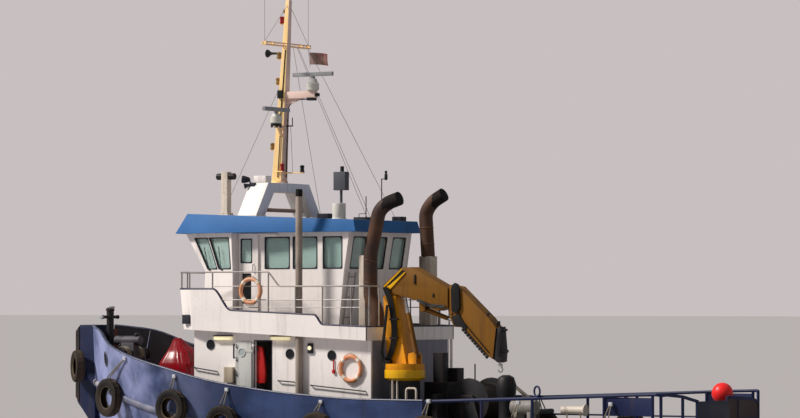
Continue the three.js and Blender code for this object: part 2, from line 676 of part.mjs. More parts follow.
const openings = windowCuts();
const doorway = block(CABIN.doorAft + 30, CABIN.doorFore - 30, 1300, 1700, 3900, 6200);
const cabinRing = cut(onBridge(plate(cabinLevels(), CABIN.wall)), openings.side, openings.front, bothSides(doorway));
const frontHalf = 1290;
const sideZone = block(-500, 6000, frontHalf + FIT, 3000, 3000, 7000);
const frontZone = block(4600, 6000, -frontHalf, frontHalf, 3000, 7000);
const slideRail = block(CABIN.doorAft - SLIDE, CABIN.doorFore, CABIN.half - 20, CABIN.half + 65, DOOR_TOP + FIT, DOOR_TOP + 45);
const cabinPort = join(cabinRing.intersect(sideZone), slideRail);
addPiece('wheelhouse_port_wall', 'white', cabinPort);
addPiece('wheelhouse_starboard_wall', 'white', mirrored(cabinPort));
addPiece('wheelhouse_front_wall', 'white', cabinRing.intersect(frontZone));
const aftShell = onBridge(plate(aftLevels(), CABIN.wall));
addPiece('wheelhouse_aft_wall', 'white', cut(aftShell, openings.aft));

// Glass: a thin band inside each wall, behind its windows.
const behind = CABIN.wall + FIT;
const glassRing = cut(
  plate(cabinLevels().map((level) => offsetPath(level, behind - 20)), 20 + GLASS.thick),
  plate(cabinLevels(), behind + FIT),
);
const aftBand = plate(aftLevels().map((level) => offsetPath(level, behind)), GLASS.thick);
const glassZone = (x0, x1, y0, y1) => block(x0, x1, y0, y1, WINDOW.bottom - GLASS.lap, WINDOW.top + GLASS.lap);
const portBand = glassRing.intersect(glassZone(250, CABIN.doorAft - 20, 0, 3000));
addPiece('glass_port', 'glass', portBand);
addPiece('glass_starboard', 'glass', mirrored(portBand));
addPiece('glass_front', 'glass', glassRing.intersect(glassZone(CABIN.bayAft + 25, 6000, -3000, 3000)));
addPiece('glass_aft', 'glass', aftBand.intersect(glassZone(-500, 900, -1410, 1410)));

// Sliding door outboard of each side wall, hung from a rail under the roof.
const slideY = CABIN.half + 12;
const doorPane = block(CABIN.doorAft + 200, CABIN.doorFore - 70, slideY - 20, slideY + 70, 5545, 6190);
const slidingDoor = cut(block(CABIN.doorAft, CABIN.doorFore - 10, slideY, slideY + 45, 3860, DOOR_TOP), doorPane);
const doorGlass = block(CABIN.doorAft + 190, CABIN.doorFore - 60, slideY + 16, slideY + 28, 5535, 6200);
const portSlide = join(slidingDoor, doorGlass);
addPiece('sliding_door_port', 'white', portSlide);
addPiece('sliding_door_starboard', 'white', mirrored(portSlide));

// Roof with its sloping blue visor.
function roofLevel(table, z) {
  const port = table.map(([x, half]) => [x, half, z]);
  return [...port, ...port.map(([x, y]) => [x, -y, z]).reverse()];
}
// The top of the roof rises towards the bow.
function roofTopAt(x) {
  return ROOF.topAtZero + ROOF.rise * x;
}
const roofSunk = roofTopAt(0) - 40;
const whips = join(
  rod([430, -700, roofSunk], [430, -700, 7850], 16, 6),
  rod([440, -700, 7835], [270, -700, 7835], 16, 6),
  rod([290, -700, 7820], [290, -700, 8060], 45, 8),
  rod([1070, -900, roofSunk], [1070, -900, 7380], 20, 8),
);
const roofBoxes = join(block(-20, 260, -1250, -950, roofSunk, 6810), block(1300, 1650, 300, 640, roofSunk, 6880));
// Flat seats for what stands on the sloping top.
const SEAT = { gantry: 6842, lampPost: 6890, satellite: 6750 };
const roofSeats = join(
  bothSides(block(GANTRY.aft - 20, GANTRY.fore + 20, 1130, 1600, roofSunk, SEAT.gantry)),
  block(4540, 4860, 440, 760, roofSunk, SEAT.lampPost),
  rod([960, 600, roofSunk], [960, 600, SEAT.satellite], 200, 16),
);
const roofTopRing = roofLevel(ROOF_TOP, 0).map(([x, y]) => [x, y, roofTopAt(x)]);
addPiece('wheelhouse_roof', 'blue',
  skin([roofLevel(ROOF_BOTTOM, ROOF.bottom), roofTopRing]), whips, roofBoxes, roofSeats);

// Console and helm chair behind the front windows.
const consoleSolid = sidePrism([
  [3950, bridgeTop(3950) + FIT], [4650, bridgeTop(4650) + FIT], [4650, 4750], [4500, 4900], [4050, 4750], [3950, 4500],
], -1150, 1150);
const plinth = block(2600, 4000, -400, 400, bridgeTop(4000) + FIT, bridgeTop(4000) + 60);
const chair = join(
  block(2900, 3150, -130, 130, bridgeTop(4000) + 20, 4300),
  block(2750, 3300, -280, 280, 4300, 4450),
  block(2680, 2800, -260, 260, 4450, 5150),
);
addPiece('helm_station', 'grey', consoleSolid, plinth, chair);

// Gantry, mast with its yard and arms, and the two radar scanners.
const gantryFoot = SEAT.gantry + FIT;
addPiece('mast_gantry', 'white', endPrism([
  [-GANTRY.foot - 180, gantryFoot], [-GANTRY.shoulder - 60, GANTRY.top], [GANTRY.shoulder + 60, GANTRY.top],
  [GANTRY.foot + 180, gantryFoot], [GANTRY.foot - 250, gantryFoot], [GANTRY.shoulder - 230, GANTRY.under],
  [-GANTRY.shoulder + 230, GANTRY.under], [-GANTRY.foot + 250, gantryFoot],
].reverse(), GANTRY.aft, GANTRY.fore));

function mastAt(z) {
  return THREE.MathUtils.mapLinear(z, MAST.foot, MAST.head, MAST.footX, MAST.headX);
}

function square(x, half, z) {
  return [[x - half, -half, z], [x + half, -half, z], [x + half, half, z], [x - half, half, z]];
}

const mastBody = skin([square(MAST.footX, MAST.footHalf, MAST.foot + FIT), square(MAST.headX, MAST.headHalf, MAST.head)]);
const upperRadar = { x: 2220, y: 0, z: 10600 };
const lowerRadar = { x: 2860, y: 840, z: 9620 };
const mastPieces = [
  mastBody,
  rod([MAST.headX, 0, MAST.head - 50], [MAST.headX, 0, 13400], 22, 8),
  block(mastAt(11550) - 70, mastAt(11550) + 70, -1100, 1100, 11510, 11590),
  rod([mastAt(11550), 1060, 11550], [mastAt(11550), 1060, 12900], 14, 6),
  rod([mastAt(11550), -1060, 11550], [mastAt(11550), -1060, 12900], 14, 6),
  block(2120, mastAt(10150), -75, 75, 10070, 10260),
  rod([upperRadar.x, 0, 10250], [upperRadar.x, 0, 10500], 170, 16),
  rod([upperRadar.x, 0, 10490], [upperRadar.x, 0, upperRadar.z - FIT], 110, 16),
  rod([mastAt(9280), 0, 9290], [lowerRadar.x, lowerRadar.y, 9290], 60, 8),
  rod([mastAt(9000), 0, 9020], [2960, 600, 9270], 45, 8),
  rod([lowerRadar.x, lowerRadar.y, 9270], [lowerRadar.x, lowerRadar.y, 9560], 165, 16),
  rod([lowerRadar.x, lowerRadar.y, 9550], [lowerRadar.x, lowerRadar.y, lowerRadar.z - FIT], 110, 16),
];
// Lamps on brackets up the fore side of the mast: height, reach, lamp radius.
const MAST_LAMPS = [[12230, 190, 70], [11270, 230, 75], [10560, 220, 70], [8770, 290, 70]];
MAST_LAMPS.forEach(([z, reach, radius]) => {
  const x = mastAt(z);
  mastPieces.push(block(x, x + reach + 60, -35, 35, z - 110, z - 85));
  mastPieces.push(rod([x + reach, 0, z - 95], [x + reach, 0, z + 90], radius, 10));
});
mastPieces.push(block(mastAt(8000) - 800, mastAt(8000), -35, 35, 8010, 8045));
mastPieces.push(rod([mastAt(8000) - 750, 0, 8030], [mastAt(8000) - 750, 0, 8220], 60, 10));
mastPieces.push(block(3080, mastAt(8000), 100, 230, 8050, 8080), rod([3120, 190, 8060], [3120, 190, 8290], 60, 10));
addPiece('mast', 'mast', ...mastPieces);

// Radar scanner: a rotating bar on a turntable boss.
function scanner({ x, y, z }, length, turn) {
  const geometry = new THREE.BoxGeometry(length, 90, 110);
  geometry.rotateZ(THREE.MathUtils.degToRad(turn));
  geometry.translate(x, y, z + 115);
  return join(toSolid(geometry), rod([x, y, z], [x, y, z + 80], 60, 12));
}
addPiece('radar_scanner_upper', 'white', scanner(upperRadar, 1300, 0));
addPiece('radar_scanner_lower', 'white', scanner(lowerRadar, 1300, 93));

// Roof gear: lamp post, satellite drum with its post and box, horn cluster and boxes.
const lampPostFoot = SEAT.lampPost + FIT;
const lampPost = join(
  block(4600, 4800, 500, 700, lampPostFoot, 8070),
  block(4560, 4840, 460, 740, lampPostFoot, lampPostFoot + 50),
  rod([4790, 600, 7940], [4990, 600, 7940], 90, 14),
  rod([4610, 600, 7940], [4410, 600, 7940], 90, 14),
);
const satelliteDrum = join(
  rod([960, 600, SEAT.satellite + FIT], [960, 600, 7150], 185, 16),
  rod([890, 600, 7140], [890, 600, 7520], 40, 8),
  block(700, 1080, 500, 700, 7500, 8000),
  rod([860, 600, 7990], [860, 600, 8150], 55, 10),
);
addPiece('lamp_post', 'grey', lampPost);
addPiece('satellite_post', 'grey', satelliteDrum);

// Tall vent pipe up the port side, from the main deck past the bridge deck.
addPiece('vent_pipe', 'white',
  rod([VENT.x, VENT.y, deckHeight(VENT.x + VENT.radius) + FIT], [VENT.x, VENT.y, VENT.top], VENT.radius, 14));

// Engine exhausts: rusty pipe in a casing to port, louvred casing and pipe to starboard.
const EXHAUST_RADIUS = 190;
const portExhaust = pipe([
  [-695, 1250, bridgeTop(-695) - SUNK], [-695, 1250, 4250], [-480, 1250, 4590], [-480, 1250, 5730],
  [-670, 1250, 6530], [-750, 1250, 6900], [-1020, 1250, 7110], [-1400, 1250, 7230],
], EXHAUST_RADIUS, 14);
const starboardExhaust = pipe([
  [-720, -1250, 5730], [-640, -1250, 6900], [-860, -1250, 7200], [-1230, -1250, 7400],
], EXHAUST_RADIUS, 14);
const casingTop = 5725;
const starboardCasing = block(-900, -540, -1430, -1070, bridgeTop(-900) - SUNK, casingTop);
const portCasing = block(-350, -150, 1180, 1320, bridgeTop(-350) - SUNK, casingTop);
addPiece('exhaust_port', 'rust', onBridge(join(portExhaust, portCasing)));
addPiece('exhaust_starboard', 'rust', onBridge(join(starboardExhaust, starboardCasing)));

// Rails round the bridge deck, standing on the bulwark, and the ladder abaft the wheelhouse.
const RAIL = 22;
const RAIL_SIDES = 4;
const railPost = (x, y, low, high) => rod([x, y, low], [x, y, high], RAIL, RAIL_SIDES);
function bridgeRails() {
  const y = 2175;
  const sideHigh = pipe([[4800, y, 5290], [2190, y, 5290], [1840, y, 4900], [-780, y, 4900]], RAIL, RAIL_SIDES);
  const lower = [[4010, 4905], [3740, 4540], [3540, 4336]]
    .map(([fore, z]) => rod([fore, y, z], [-780, y, z], RAIL * 0.8, RAIL_SIDES));
  const posts = [4030, 3060, 2190, 1310, 440, -467].map((x) => {
    const top = x > 2100 ? 5290 : 4900;
    return railPost(x, y, rimHeight(x + RAIL) + FIT, top);
  });
  return join(sideHigh, lower, posts);
}

function rimHeight(x) {
  const row = BRIDGE_RIM.findIndex(([rimX]) => rimX >= x);
  const [from, to] = [BRIDGE_RIM[row - 1], BRIDGE_RIM[row]];
  return THREE.MathUtils.mapLinear(x, from[0], to[0], from[2], to[2]);
}
const FRONT_RAIL = [[4800, 2175], [5125, 2090], [5340, 1845], [5475, 1345]];
const frontRail = pipe([...FRONT_RAIL, ...FRONT_RAIL.map(([x, y]) => [x, -y]).reverse()]
  .map(([x, y]) => [x, y, 5290]), RAIL, RAIL_SIDES);
const frontPosts = [[4800, 2170], [5125, 2085], [5475, 1340], [5475, 0], [5475, -1340], [5125, -2085], [4800, -2170]]
  .map(([x, y]) => railPost(x, y, 4840 + FIT, 5290));
const aftRail = join(
  pipe([[-780, 2175, 4900], [-927, 2000, 4900], [-927, 1520, 4900]], RAIL, RAIL_SIDES),
  railPost(-927, 2000, BRIDGE_AFT_TOP + FIT, 4900), railPost(-927, 1520, BRIDGE_AFT_TOP + FIT, 4900),
);
const railBuoy = lifebuoy(2730, 2175 + RAIL + 40, 4780);
addPiece('bridge_rails', 'white', bothSides(join(bridgeRails(), railBuoy)), frontRail, frontPosts,
  bothSides(aftRail));

// Open rails round the after deck.
const AFT_RAIL = 45;
function aftRails(transomEnd) {
  const rows = SHEER.filter((row) => row[0] < BULWARK_END_X);
  const at = (x, z) => [x, Math.min(between(SHEER, x, 3), 2800) - 60, z];
  const topAt = (x) => between(SHEER, x, 2);
  const top = pipe([at(BULWARK_END_X - 60, 1900), ...rows.slice(0, -1).map((row) => at(row[0], row[2] - 40)),
    [-10040, 2640, 2140], ...transomEnd], AFT_RAIL, 6);
  const middle = pipe([at(BULWARK_END_X - 60, 1450), ...rows.slice(0, -1).map((row) => at(row[0], 1450)),
    [-10040, 2640, 1450], [-10040, 950, 1450]], AFT_RAIL * 0.6, 6);
  const posts = [-3170, -4860, -6370, -8470, -9850].map((x) => {
    const [px, py] = at(x, 0);
    return rod([px, py, 1000 + FIT], [px, py, topAt(x) - 40], AFT_RAIL * 0.9, 6);
  });
  const sternPosts = [2640, 1500].map((y) => rod([-10040, y, 1000 + FIT], [-10040, y, 1960], AFT_RAIL * 0.9, 6));
  const infill = plate([1620, 2080].map((z) => [[-9850, 0], [-9300, 0], [-8470, 0]].map(([x]) => at(x, z))), 12);
  return join(top, middle, posts, sternPosts, infill);
}

// Plates with a rounded upper corner: one in the middle of the transom rail, one to starboard of it.
function sternPlate(y0, y1, innerTop, outerTop, x) {
  const low = 1000 + FIT;
  return mirrored(endPrism([
    [y0, low], [y1, low], [y1, outerTop - 250], [y1 - 80, outerTop - 70], [y1 - 250, outerTop], [y0, innerTop],
  ], x, x + 50));
}
addPiece('aft_rails', 'hull', aftRails([[-10040, 2370, 2150], [-10040, 1520, 2090], [-10040, 700, 1950]]),
  rod([-10040, 1500, 1950], [-10040, 1500, 2080], AFT_RAIL * 0.9, 6),
  rod([-10040, 2640, 1950], [-10040, 2640, 2130], AFT_RAIL * 0.9, 6),
  mirrored(aftRails([[-10040, 2640, 1860], [-10040, 2380, 1940], [-10040, 980, 2030]])),
  sternPlate(-780, 960, 1950, 1950, -10070), sternPlate(900, 2700, 2060, 1960, -10050));

const buoyBall = new THREE.SphereGeometry(280, 14, 9);
buoyBall.rotateX(Math.PI / 2);
buoyBall.translate(-9600, -1480, 2110);
const buoyStand = rod([-9600, -1480, 1000 + FIT], [-9600, -1480, 1900], 60, 10);
addPiece('stern_buoy', 'red', toSolid(buoyBall), buoyStand);


// Anchor windlass under its red cover, forward of the house.
const coverLevel = ([aft, fore, half], height) => [[aft, -half], [fore, -half], [fore, half], [aft, half]]
  .map(([x, y]) => [x, y, height(x)]);
addPiece('covered_windlass', 'red', skin([
  coverLevel([5900, 7250, 650], (x) => deckHeight(x) + FIT),
  coverLevel([6010, 7190, 560], () => 2750),
  coverLevel([6200, 7030, 420], () => 3080),
  coverLevel([6670, 6890, 110], () => 3470),
]));

// Mooring winch near the bow: bed, two cheeks, gearbox and motor, and the shaft with drums and warping heads.
const MOORING = { x: 8450, z: 3020, cheekIn: 430, cheekOut: 490, gearbox: 130 };
const mooringAcross = (y0, y1, radius, sides) => rod([MOORING.x, y0, MOORING.z], [MOORING.x, y1, MOORING.z], radius, sides);
const mooringBed = sidePrism([...deckLine(8080, 8880, FIT), [8880, 2440], [8080, 2440]], -520, 520);
const mooringCheek = sidePrism([
  [MOORING.x - 300, 2430], [MOORING.x + 300, 2430], [MOORING.x + 150, 3160], [MOORING.x - 150, 3160],
], MOORING.cheekIn, MOORING.cheekOut);
const mooringGearbox = block(MOORING.x - 220, MOORING.x + 220, -MOORING.gearbox, MOORING.gearbox, 2430, 3340);
const mooringMotor = rod([8070, 0, 3400], [8930, 0, 3400], 130, 14);
addPiece('mooring_winch', 'grey', cut(join(mooringBed, bothSides(mooringCheek), mooringGearbox, mooringMotor),
  mooringAcross(-800, 800, 62, 14)));
addPiece('mooring_winch_shaft', 'black', mooringAcross(-760, 760, 50, 14), bothSides(join(
  mooringAcross(170, MOORING.cheekIn - FIT, 90, 14), mooringAcross(190, 400, 200, 20),
  mooringAcross(500, 540, 165, 16), mooringAcross(540, 720, 125, 16), mooringAcross(720, 760, 170, 16))));

// Crane: pedestal bolted to the deck, with its slewing flange.
const pedestalFoot = deckHeight(CRANE.x + 470) + FIT;
addPiece('crane_pedestal', 'black', turned([
  [0, pedestalFoot], [470, pedestalFoot], [470, 1060], [400, 1120], [400, 2400], [540, 2470], [540, 2690], [0, 2690],
], CRANE.x, CRANE.y, 24));

function cranePrism(outline, half) {
  return sidePrism(outline.map(([reach, z]) => [CRANE.x - reach, z]).reverse(), CRANE.y - half, CRANE.y + half);
}

function craneRod(from, to, radius, sides = 12) {
  return rod([CRANE.x - from[0], CRANE.y, from[1]], [CRANE.x - to[0], CRANE.y, to[1]], radius, sides);
}

function cranePin([reach, z], radius, half, sides = 14) {
  return rod([CRANE.x - reach, CRANE.y - half, z], [CRANE.x - reach, CRANE.y + half, z], radius, sides);
}

const column = join(
  turned([[0, 2690 + FIT], [520, 2690 + FIT], [520, 2850], [0, 2850]], CRANE.x, CRANE.y, 24),
  cranePrism([[-430, 2840], [170, 2840], [-180, 4650], [-560, 4650]], 200),
  cranePrism([[-500, 4640], [-220, 4640], [-260, 4950], [-460, 4950]], SLOT - FIT),
  cranePin(BOOM_PIVOT, 60, BOOM_WIDTH / 2 + 25),
);
const footEars = [-1, 1].map((side) => sidePrism(
  [[170, 2845], [440, 2845], [440, 3080], [360, 3160], [200, 3120]].map(([reach, z]) => [CRANE.x - reach, z]).reverse(),
  CRANE.y + side * 120 - 30, CRANE.y + side * 120 + 30));
addPiece('crane_column', 'yellow', column, footEars, cranePin(LUFF_CYLINDER.foot, 30, 140));

// Boom: arched box girder with a forked heel, a slot for the luffing rod and a knuckle ear.
const boomBody = cut(
  cranePrism([
    [-500, 4790], [-560, 4920], [20, 5380], [340, 5400], [1460, 4840], [1460, 4330],
    [1100, 4250], [480, 4520], [-70, 4660], [-300, 4700],
  ].reverse(), BOOM_WIDTH / 2),
  block(CRANE.x - 90, CRANE.x + 700, CRANE.y - SLOT, CRANE.y + SLOT, 4500, 5080),
  block(CRANE.x - 260, CRANE.x + 200, CRANE.y - 60, CRANE.y + 60, 4500, 4800),
  cranePin(BOOM_PIVOT, 66, 400),
);
const boomEars = [-1, 1].map((side) => sidePrism(
  [[520, 4580], [720, 4520], [700, 4250], [620, 4210], [540, 4260]].map(([reach, z]) => [CRANE.x - reach, z]),
  CRANE.y + side * 105 - 25, CRANE.y + side * 105 + 25));
addPiece('crane_boom', 'yellow', boomBody, boomEars,
  cranePrism([[1400, 4420], [1400, 4260], [1500, 4090], [1640, 4090], [1690, 4200], [1600, 4330], [1470, 4420]], SLOT - FIT),
  cranePin(KNUCKLE, 48, JIB_WIDTH / 2 + 25), cranePin(JIB_CYLINDER.foot, 26, 125));

// Jib: box with a forked heel and a square bore for the sliding extension.
const along = [Math.cos(JIB_SLOPE), Math.sin(JIB_SLOPE)];
function jibBox(from, to, halfDepth, halfWidth) {
  const across = [-along[1] * halfDepth, along[0] * halfDepth];
  const point = (t, side) => [JIB_TIP[0] + along[0] * t + side * across[0], JIB_TIP[1] + along[1] * t + side * across[1]];
  return cranePrism([point(from, -1), point(to, -1), point(to, 1), point(from, 1)], halfWidth);
}
const jibBody = cut(
  cranePrism([
    [1500, 4930], [1770, 4880], [2700, 4060], [2920, 3800], [2820, 2990], [2500, 3200],
    [1860, 3820], [1640, 3830], [1500, 4080],
  ].reverse(), JIB_WIDTH / 2),
  block(CRANE.x - 1800, CRANE.x - 1300, CRANE.y - SLOT, CRANE.y + SLOT, 3700, 4400),
  cranePin(KNUCKLE, 54, 400),
  jibBox(-EXTENSION.length - 60, 700, EXTENSION.depth / 2 + FIT, EXTENSION.width / 2 + 6),
);
const eyeLugs = [-1, 1].map((side) => rod([CRANE.x - JIB_CYLINDER.eye[0], CRANE.y + side * (SLOT + 20), JIB_CYLINDER.eye[1]],
  [CRANE.x - JIB_CYLINDER.eye[0], CRANE.y + side * 56, JIB_CYLINDER.eye[1]], 58, 14));
addPiece('crane_jib', 'yellow', jibBody, eyeLugs);

const headBlock = cranePrism([
  [2935, 3800], [3020, 3840], [3080, 3200], [3060, 2930], [2960, 2900], [2835, 2980],
].reverse(), 150);
const HOOK_PIN = [2950, 2965];
const extensionBar = jibBox(-EXTENSION.length, 120, EXTENSION.depth / 2, EXTENSION.width / 2);
addPiece('crane_extension', 'black', cut(headBlock, block(CRANE.x - 3025, CRANE.x - 2875, CRANE.y - 45, CRANE.y + 45, 2800, 3060)),
  extensionBar, cranePin(HOOK_PIN, 20, 60));

const hookEye = cut(cranePin(HOOK_PIN, 55, 45 - FIT), cranePin(HOOK_PIN, 25, 60));
const hookShank = craneRod([HOOK_PIN[0], HOOK_PIN[1] - 40], [HOOK_PIN[0], 2780], 24, 8);
const hookSwivel = craneRod([HOOK_PIN[0], 2860], [HOOK_PIN[0], 2800], 44, 10);
const HOOK_BEND = { z: 2722, radius: 66, thick: 18 };
const hookCurve = Array.from({ length: 10 }, (_, i) => {
  const angle = THREE.MathUtils.degToRad(90 + i * 29);
  return [CRANE.x - HOOK_PIN[0] + HOOK_BEND.radius * Math.cos(angle), CRANE.y, HOOK_BEND.z + HOOK_BEND.radius * Math.sin(angle)];
});
addPiece('crane_hook', 'steel', hookEye, hookShank, hookSwivel, pipe(hookCurve, HOOK_BEND.thick, 8));

// Hydraulic cylinders: each barrel swings on its foot pin and each rod slides in it.
function cylinderPair({ foot, eye, barrel, rod: rodRadius, inner, tube: share, ears }) {
  const length = Math.hypot(eye[0] - foot[0], eye[1] - foot[1]);
  const dir = [(eye[0] - foot[0]) / length, (eye[1] - foot[1]) / length];
  const at = (t) => [foot[0] + dir[0] * t, foot[1] + dir[1] * t];
  const barrelLength = length * share;
  const tube = cut(
    join(craneRod(at(barrel * 0.6), at(barrelLength), barrel), cranePin(foot, barrel, ears - FIT)),
    cranePin(foot, 32, 200), craneRod(at(150), at(barrelLength + 40), rodRadius + FIT),
  );
  const stem = craneRod(at(inner), at(length - 40), rodRadius);
  const eyeRing = cut(cranePin(eye, 58, 50), cranePin(eye, 34, 200));
  return [tube, join(stem, eyeRing)];
}
const [luffBarrel, luffRod] = cylinderPair(LUFF_CYLINDER);
const [jibBarrel, jibRod] = cylinderPair(JIB_CYLINDER);
addPiece('luff_cylinder_barrel', 'yellow', luffBarrel);
addPiece('luff_cylinder_rod', 'steel', luffRod);
addPiece('jib_cylinder_barrel', 'black', jibBarrel);
addPiece('jib_cylinder_rod', 'steel', jibRod);

// Towing winch: frame with two cheeks, and the drum on its own shaft.
const WINCH = { x: -3150, z: 1850, flange: 620, half: 600 };
const cheek = (y) => sidePrism([
  [WINCH.x - 500, 1000 + FIT], [WINCH.x + 500, 1000 + FIT], [WINCH.x + 180, WINCH.z + 170], [WINCH.x - 180, WINCH.z + 170],
], y - 40, y + 40);
const cheekY = WINCH.half + 70;
const winchBore = rod([WINCH.x, -1200, WINCH.z], [WINCH.x, 1200, WINCH.z], 70, 14);
const powerPack = join(block(-2450, -1700, -700, 500, 1000 + FIT, 2350), block(-2200, -1900, 90, 370, 2340, 3130),
  block(-2400, -2100, -380, -60, 2340, 2720));
const winchBed = block(WINCH.x - 560, -1700, -cheekY - 40, cheekY + 40, 1000 + FIT, 1080);
addPiece('tow_winch_frame', 'black', cut(join(cheek(cheekY), cheek(-cheekY)), winchBore), winchBed, powerPack);
addPiece('tow_winch_drum', 'black',
  rod([WINCH.x, -cheekY - 60, WINCH.z], [WINCH.x, cheekY + 60, WINCH.z], 60, 14),
  rod([WINCH.x, 40 + FIT - cheekY, WINCH.z], [WINCH.x, cheekY - 40 - FIT, WINCH.z], 120, 14),
  rod([WINCH.x, -WINCH.half, WINCH.z], [WINCH.x, WINCH.half, WINCH.z], 450, 20),
  rod([WINCH.x, -WINCH.half, WINCH.z], [WINCH.x, -WINCH.half + 50, WINCH.z], WINCH.flange, 24),
  rod([WINCH.x, WINCH.half - 50, WINCH.z], [WINCH.x, WINCH.half, WINCH.z], WINCH.flange, 24));

// Capstan abaft the winch.
addPiece('capstan', 'black', turned([
  [0, 1000 + FIT], [300, 1000 + FIT], [300, 1180], [205, 1300], [195, 1850], [260, 2080],
  [270, 2310], [205, 2500], [100, 2560], [0, 2560],
], -4250, 500, 20));

// Horizontal tank beside the after hatch.
addPiece('deck_tank', 'white', rod([-5300, 1900, 1770], [-6000, 1900, 1770], 190, 16),
  block(-5500, -5400, 1750, 2050, 1000 + FIT, 1650), block(-5900, -5800, 1750, 2050, 1000 + FIT, 1650));

export default boat;
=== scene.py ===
import math

import bmesh
import bpy
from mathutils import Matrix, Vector


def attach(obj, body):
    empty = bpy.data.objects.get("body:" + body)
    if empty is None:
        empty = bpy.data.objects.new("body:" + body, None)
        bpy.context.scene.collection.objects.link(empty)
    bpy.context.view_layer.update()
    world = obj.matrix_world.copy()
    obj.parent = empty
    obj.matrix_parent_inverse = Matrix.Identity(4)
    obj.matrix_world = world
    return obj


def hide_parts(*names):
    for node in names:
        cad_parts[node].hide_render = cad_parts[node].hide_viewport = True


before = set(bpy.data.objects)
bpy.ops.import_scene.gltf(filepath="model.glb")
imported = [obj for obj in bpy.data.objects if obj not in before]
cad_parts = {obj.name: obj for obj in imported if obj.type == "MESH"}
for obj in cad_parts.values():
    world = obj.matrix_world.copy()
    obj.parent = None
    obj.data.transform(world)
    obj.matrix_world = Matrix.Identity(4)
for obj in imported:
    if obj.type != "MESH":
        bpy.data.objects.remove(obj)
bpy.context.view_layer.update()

# View, light and water level
# The photograph was taken from abaft the port beam, from a little above the rail, with a long
# lens. Its 800 pixels of width take a focal length of 3700 pixels.
PICTURE_WIDTH = 800
FOCAL_PIXELS = 3700
SENSOR_WIDTH = 36
VIEW_REACH = 2000
EYE = Vector((-54.46, 83.87, 4.4))
LOOK_AHEAD = Vector((0.5446, -0.8387, 0))
LOOK_RIGHT = Vector((-0.8387, -0.5446, 0))
AIM_RIGHT_PIXELS, AIM_UP_PIXELS = 19.1, 96

camera_data = bpy.data.cameras.new("harbour_view")
camera_data.sensor_width = SENSOR_WIDTH
camera_data.lens = SENSOR_WIDTH * FOCAL_PIXELS / PICTURE_WIDTH
camera_data.clip_end = VIEW_REACH
camera = bpy.data.objects.new("harbour_view", camera_data)
bpy.context.scene.collection.objects.link(camera)
camera.location = EYE
aim = LOOK_AHEAD + LOOK_RIGHT * (AIM_RIGHT_PIXELS / FOCAL_PIXELS)
aim += Vector((0, 0, AIM_UP_PIXELS / FOCAL_PIXELS))
camera.rotation_euler = aim.to_track_quat("-Z", "Y").to_euler()
bpy.context.scene.camera = camera
bpy.context.scene.view_settings.view_transform = "Standard"


def mixed(red, green, blue):
    """A colour on the painter's scale of 0 to 255, as the renderer's linear light."""
    shares = [value / 255 for value in (red, green, blue)]
    light = [s / 12.92 if s <= 0.04045 else ((s + 0.055) / 1.055) ** 2.4 for s in shares]
    return (*light, 1)


HAZY_SKY = mixed(200, 191, 192)
SKY_LIGHT = (0.93, 0.96, 1, 1)
SKY_FILL = 0.24
SUN_STRENGTH = 4.0
SUN_COLOUR = (1, 0.95, 0.88)
SUN_SPREAD = math.radians(9)
SUN_TOWARDS = Vector((0.58, 0.47, 0.68))

sky = bpy.data.worlds.new("hazy_sky")
bpy.context.scene.world = sky
sky.use_nodes = True
sky_nodes, sky_links = sky.node_tree.nodes, sky.node_tree.links
sky_nodes.clear()
sky_seen = sky_nodes.new("ShaderNodeBackground")
sky_seen.inputs["Color"].default_value = HAZY_SKY
sky_light = sky_nodes.new("ShaderNodeBackground")
sky_light.inputs["Color"].default_value = SKY_LIGHT
sky_light.inputs["Strength"].default_value = SKY_FILL
sky_path = sky_nodes.new("ShaderNodeLightPath")
sky_mix = sky_nodes.new("ShaderNodeMixShader")
sky_out = sky_nodes.new("ShaderNodeOutputWorld")
sky_links.new(sky_path.outputs["Is Camera Ray"], sky_mix.inputs["Fac"])
sky_links.new(sky_light.outputs["Background"], sky_mix.inputs[1])
sky_links.new(sky_seen.outputs["Background"], sky_mix.inputs[2])
sky_links.new(sky_mix.outputs["Shader"], sky_out.inputs["Surface"])

sun_data = bpy.data.lights.new("low_sun", "SUN")
sun_data.energy = SUN_STRENGTH
sun_data.angle = SUN_SPREAD
sun_data.color = SUN_COLOUR
sun = bpy.data.objects.new("low_sun", sun_data)
sun.rotation_euler = SUN_TOWARDS.to_track_quat("Z", "Y").to_euler()
bpy.context.scene.collection.objects.link(sun)

FLOOR_REACH = 1200
floor_mesh = bpy.data.meshes.new("pale_floor")
floor_mesh.from_pydata(
    [(-FLOOR_REACH, -FLOOR_REACH, 0), (FLOOR_REACH, -FLOOR_REACH, 0),
     (FLOOR_REACH, FLOOR_REACH, 0), (-FLOOR_REACH, FLOOR_REACH, 0)], [], [(0, 1, 2, 3)])
floor = bpy.data.objects.new("pale_floor", floor_mesh)
bpy.context.scene.collection.objects.link(floor)
floor_paint = bpy.data.materials.new("pale_floor")
floor_paint.use_nodes = True
floor_surface = floor_paint.node_tree.nodes["Principled BSDF"]
floor_surface.inputs["Base Color"].default_value = mixed(176, 172, 174)
floor_surface.inputs["Roughness"].default_value = 0.9
floor_mesh.materials.append(floor_paint)
